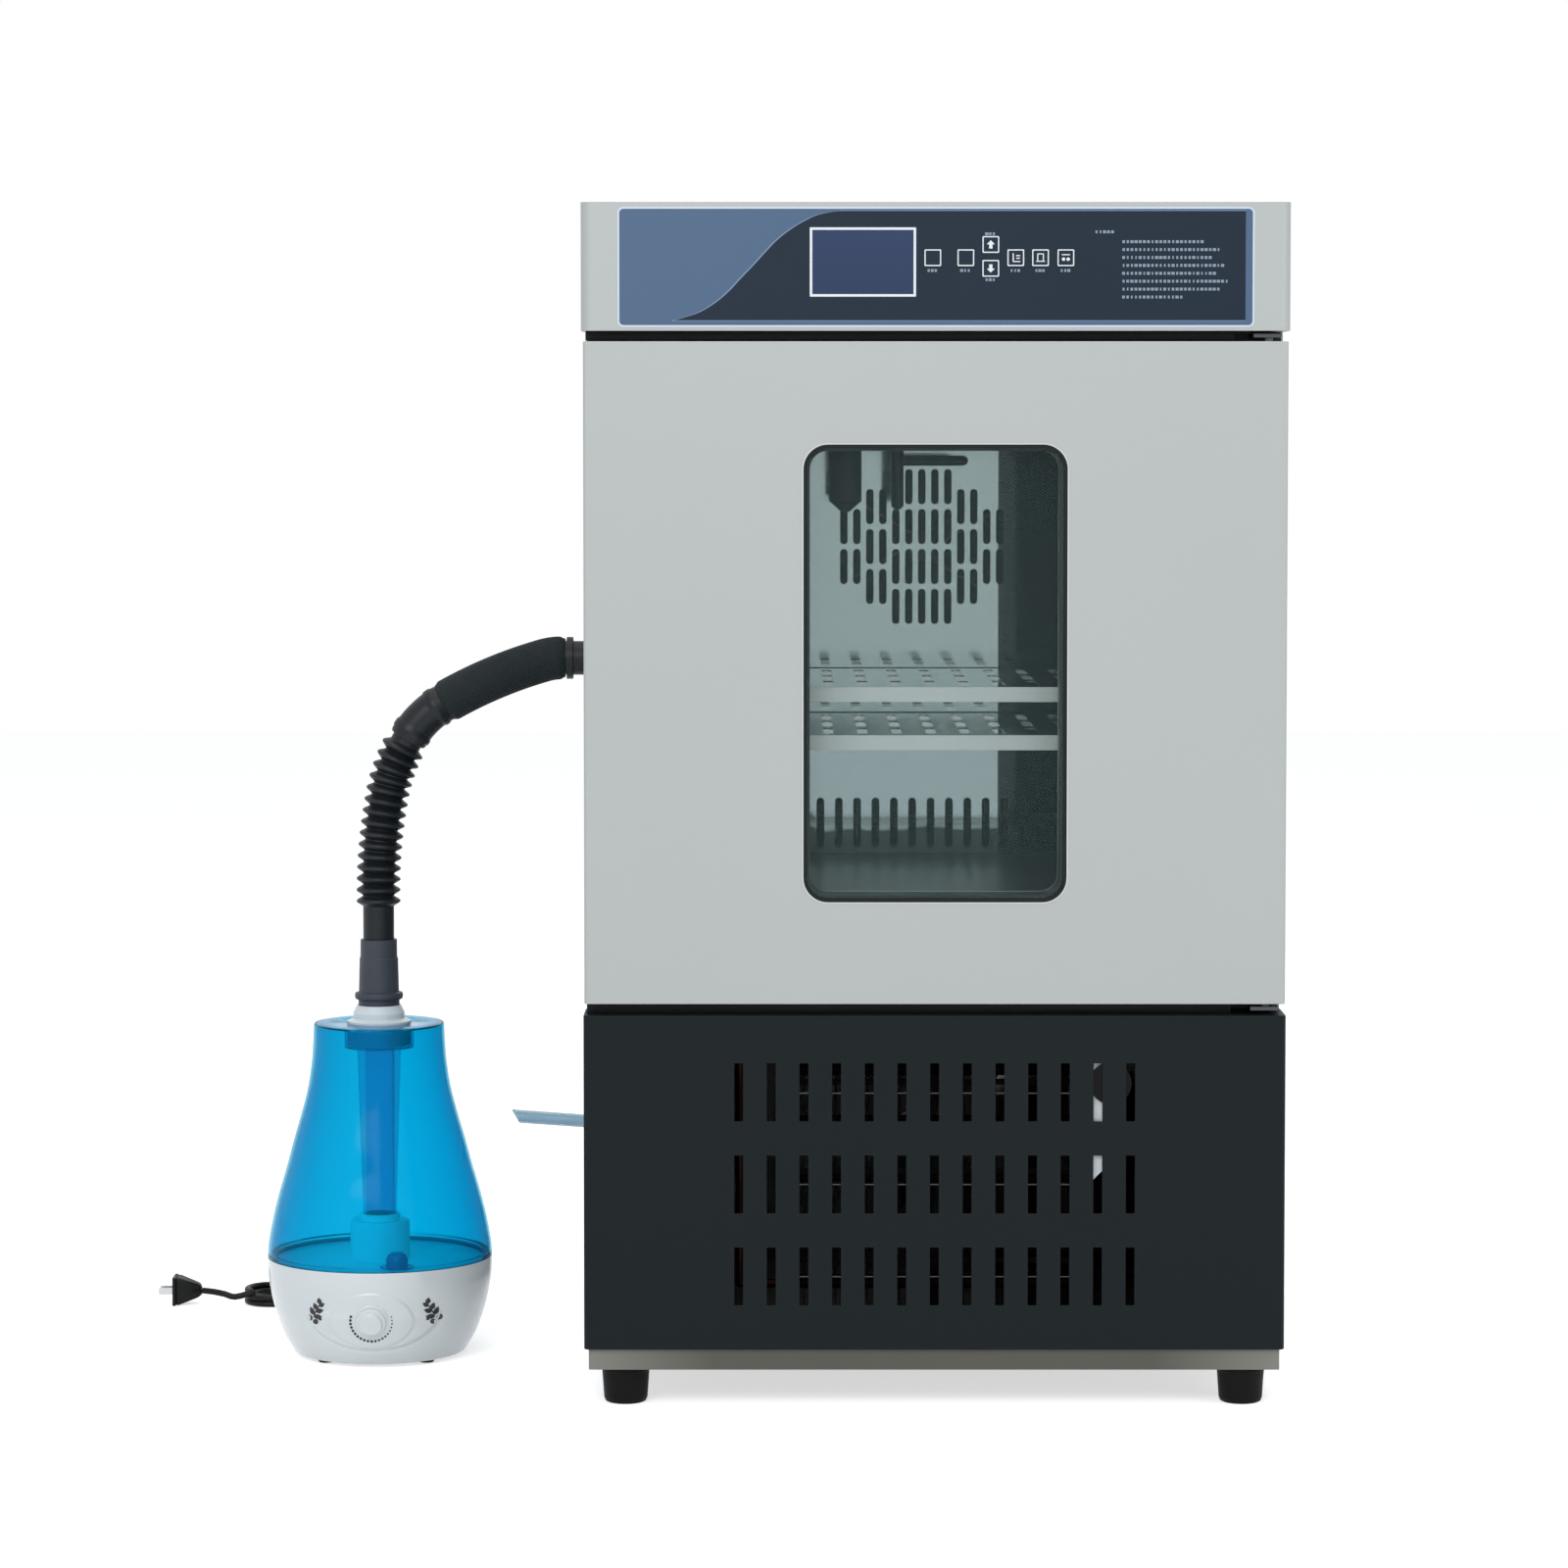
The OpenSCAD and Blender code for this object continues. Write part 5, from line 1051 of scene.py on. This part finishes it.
def ridgedTube():
    # a tube along the line it is given, swelling into rings over the middle of its length
    tree, given, end = growthTree("ridgedTube", Step_Length="Float", Plain_Radius="Float", Ring_Radius="Float",
                                  First_Ring="Float", Ring_Spacing="Float", Rings="Float", Around="Int")
    curve = addNode(tree, "GeometryNodeMeshToCurve", {"Mesh": given["Geometry"]})
    fine = addNode(tree, "GeometryNodeResampleCurve", {"Curve": curve, "Length": given["Step Length"]},
                   mode="LENGTH")
    along = calculate(tree, "SUBTRACT", addNode(tree, "GeometryNodeSplineParameter").outputs["Length"],
                      given["First Ring"])
    count = calculate(tree, "DIVIDE", along, given["Ring Spacing"])
    wave = calculate(tree, "COSINE", calculate(tree, "MULTIPLY", count, 2 * math.pi))
    crest = calculate(tree, "POWER", calculate(tree, "MULTIPLY_ADD", wave, 0.5, 0.5), 0.8)
    ringed = calculate(tree, "MULTIPLY", calculate(tree, "GREATER_THAN", count, 0.5),
                       calculate(tree, "LESS_THAN", count, calculate(tree, "ADD", given["Rings"], 0.5)))
    swell = calculate(tree, "MULTIPLY", calculate(tree, "SUBTRACT", given["Ring Radius"], given["Plain Radius"]),
                      calculate(tree, "MULTIPLY", crest, ringed))
    ring = addNode(tree, "GeometryNodeCurvePrimitiveCircle", {"Radius": 1.0, "Resolution": given["Around"]})
    tube = addNode(tree, "GeometryNodeCurveToMesh", {
        "Curve": fine, "Profile Curve": ring.outputs["Curve"], "Fill Caps": True,
        "Scale": calculate(tree, "ADD", swell, given["Plain Radius"])})
    return closeTree(tree, tube, given, end)


path = bpy.data.meshes.new("hoseLine")
path.from_pydata([p / 1000 for p in hoseLine(collarEnd - 12, footEnd, 160)], [(i, i + 1) for i in range(160)], [])
mesh = grownMesh("ridgedHose", ridgedTube(), {
    "Step Length": 0.0009, "Plain Radius": hose["plain"] / 1000, "Ring Radius": hose["ridge"] / 1000,
    "First Ring": 0.012, "Ring Spacing": (ridgeEnd - collarEnd) / (hose["ridges"] + 0.5) / 1000,
    "Rings": float(hose["ridges"]), "Around": 56, "Finish": finishes["hosePlastic"]}, path)
cleanMesh(mesh)
hosePiece = linkPiece(mesh)
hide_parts("corrugated_hose")
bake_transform(hosePiece)
print("hose")

# power cord: out of the base, a hank on the floor, then the plug; turns as (column, layer)
cord = {"diameter": 6.0, "hankAt": (-595.0, 215.0), "straight": 27.0, "turnRadii": (23.9, 18.0),
        "layers": (3.3, 8.6, 13.6), "turns": [(0, 0), (1, 0), (0, 1), (1, 1), (0, 2)], "perTurn": 28,
        "lastTurn": 0.62, "out": [(-497, 54, 15), (-499, 66, 14), (-504, 82, 9), (-512, 100, 4),
                                  (-524, 124, 3.2), (-534, 146, 3.2), (-541, 176, 3.2)],
        "lead": [(-640, 199, 13.0), (-656, 198, 9), (-666, 199, 11.5), (-677, 203, 13), (-688, 207, 13.5)]}


def onTrack(d, r, straight):
    # a point of a long ring, d from its right end's middle: back run, left end, front run, right end
    quarter = math.pi * r / 2
    backEnd, leftEnd = quarter + 2 * straight, 3 * quarter + 2 * straight
    if quarter <= d < backEnd:
        return straight - (d - quarter), r
    if leftEnd <= d < leftEnd + 2 * straight:
        return -straight + (d - leftEnd), -r
    passed = 0.0 if d < quarter else 2 * straight if d < leftEnd else 4 * straight
    middle = straight if d < quarter or d >= leftEnd else -straight
    return middle + r * math.cos((d - passed) / r), r * math.sin((d - passed) / r)


hankLine = []
for (column, layer), (nextColumn, nextLayer) in zip(cord["turns"], cord["turns"][1:] + cord["turns"][-1:]):
    for k in range(cord["perTurn"]):
        t = k / cord["perTurn"]
        move = softStep((t - 0.6) / 0.4)
        here, there = cord["turnRadii"][column], cord["turnRadii"][nextColumn]
        r = here + (there - here) * move
        z = cord["layers"][layer] + (cord["layers"][nextLayer] - cord["layers"][layer]) * move
        x, y = onTrack(t * (4 * cord["straight"] + 2 * math.pi * r), r, cord["straight"])
        hankLine.append((cord["hankAt"][0] + x, cord["hankAt"][1] + y, z))
# the last turn stops at the left end, where the lead goes to the plug
lastStart = len(hankLine) - cord["perTurn"]
cordPoints = cord["out"] + hankLine[:lastStart + int(cord["perTurn"] * cord["lastTurn"])] + cord["lead"]
cordLine = smoothLine(cordPoints, 3)
mesh = tubeMesh("powerCord", cordLine, cord["diameter"] / 2, 12)
cordPiece = linkPiece(mesh, "cabinet", "cordRubber")
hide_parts("power_cord", "cord_hank")

# the plug: a moulded body narrower towards the cord, a flange, a ribbed relief and flat pins
plug = {"at": (-702, 210, 0.2), "half": 12, "span": (0.2, 26.8), "edge": 3.4, "middle": 13.7, "narrowing": 0.6,
        "flange": ((-14.2, -13, 0.1), (-11.2, 13, 27)), "pins": (-6, 6), "pinHalf": 0.75, "pinLength": (-28, -11),
        "pinHeights": (10, 16.3), "ribs": 11}
plugAt, half = Vector(plug["at"]), plug["half"]
bm = bmesh.new()
addBox(bm, plugAt + Vector((-half, -half, plug["span"][0])), plugAt + Vector((half, half, plug["span"][1])))
bmesh.ops.bevel(bm, geom=list(bm.edges), offset=plug["edge"], segments=4, profile=0.6, affect="EDGES",
                clamp_overlap=True)
for v in bm.verts:
    share = (v.co.x - (plugAt.x - half)) / (2 * half)
    squeeze = 1 - plug["narrowing"] * softStep((share - 0.3) / 0.8)
    v.co.y = plugAt.y + (v.co.y - plugAt.y) * squeeze
    v.co.z = plug["middle"] + (v.co.z - plug["middle"]) * squeeze
addBox(bm, *[plugAt + Vector(corner) for corner in plug["flange"]])
plugPiece = linkPiece(meshFrom(bm, "plugBody", 1000), "cabinet", "cordRubber")
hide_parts("plug")
relief = [(-689 - i * 0.9, 209.0, 13.6) for i in range(plug["ribs"])]
radii = [4.0 + 0.32 * i + (0.7 if i % 2 else 0) for i in range(plug["ribs"])]
linkPiece(tubeMesh("plugRelief", relief, radii, 24), "cabinet", "cordRubber")
bm = bmesh.new()
for y in plug["pins"]:
    addBox(bm, *[plugAt + Vector((x, y + side * plug["pinHalf"], z))
                 for side, x, z in zip((-1, 1), plug["pinLength"], plug["pinHeights"])])
linkPiece(meshFrom(bm, "plugPins", 1000), "cabinet", "brightSteel", smooth=False)
print("cord")


def seenRay(tree):
    # 1 for what the camera sees, straight, in a mirror or through glass
    rays = addNode(tree, "ShaderNodeLightPath").outputs
    seen = rays["Is Camera Ray"]
    for label in ("Is Glossy Ray", "Is Transmission Ray"):
        seen = calculate(tree, "MAXIMUM", seen, rays[label])
    return seen


# floor: diffuse for the object's shadow, lifted to plain white where nothing shades it
studio = {"floorSize": 9.0, "floorColour": (0.92, 0.92, 0.92, 1), "floorLift": 0.62, "room": (0.9, 0.95, 1.0, 1),
          "roomStrength": 0.42}
material = bpy.data.materials.new("paleFloor")
material.use_nodes = True
tree = material.node_tree
tree.nodes.clear()
diffuse = addNode(tree, "ShaderNodeBsdfDiffuse", {"Color": studio["floorColour"]})
lift = calculate(tree, "MULTIPLY", seenRay(tree), studio["floorLift"])
glow = addNode(tree, "ShaderNodeEmission", {"Strength": lift})
both = addNode(tree, "ShaderNodeAddShader", {0: diffuse, 1: glow})
addNode(tree, "ShaderNodeOutputMaterial", {"Surface": both})
finishes["paleFloor"] = material
corners = [(x * studio["floorSize"], y * studio["floorSize"], 0.0)
           for x, y in ((-1, -1), (1, -1), (1, 1), (-1, 1))]
mesh = bpy.data.meshes.new("floor")
mesh.from_pydata(corners, [], [(0, 1, 2, 3)])
floor = linkPiece(mesh, finish="paleFloor", smooth=False)

world = bpy.data.worlds.new("studio")
scene.world = world
world.use_nodes = True
tree = world.node_tree
tree.nodes.clear()
room = addNode(tree, "ShaderNodeBackground", {"Color": studio["room"], "Strength": studio["roomStrength"]})
white = addNode(tree, "ShaderNodeBackground", {"Color": (1, 1, 1, 1)})
mix = addNode(tree, "ShaderNodeMixShader", {0: seenRay(tree), 1: room, 2: white})
addNode(tree, "ShaderNodeOutputWorld", {"Surface": mix})


def softLamp(name, place, aim, width, height, power):
    data = bpy.data.lights.new(name, "AREA")
    data.shape = "RECTANGLE"
    data.size, data.size_y = width, height
    data.energy = power
    lamp = bpy.data.objects.new(name, data)
    lamp.location = place
    lamp.rotation_euler = (Vector(aim) - Vector(place)).to_track_quat("-Z", "Y").to_euler()
    scene.collection.objects.link(lamp)


softLamp("frontBank", (-1.2, -3.4, 2.4), (0, 0, 0.6), 2.4, 1.6, 56)
softLamp("rightBank", (2.6, -2.2, 1.8), (0, 0, 0.6), 1.2, 2.2, 26)
softLamp("topBank", (0, -0.4, 3.2), (0, 0, 0.4), 2.5, 2.5, 34)
print("stage and lights")
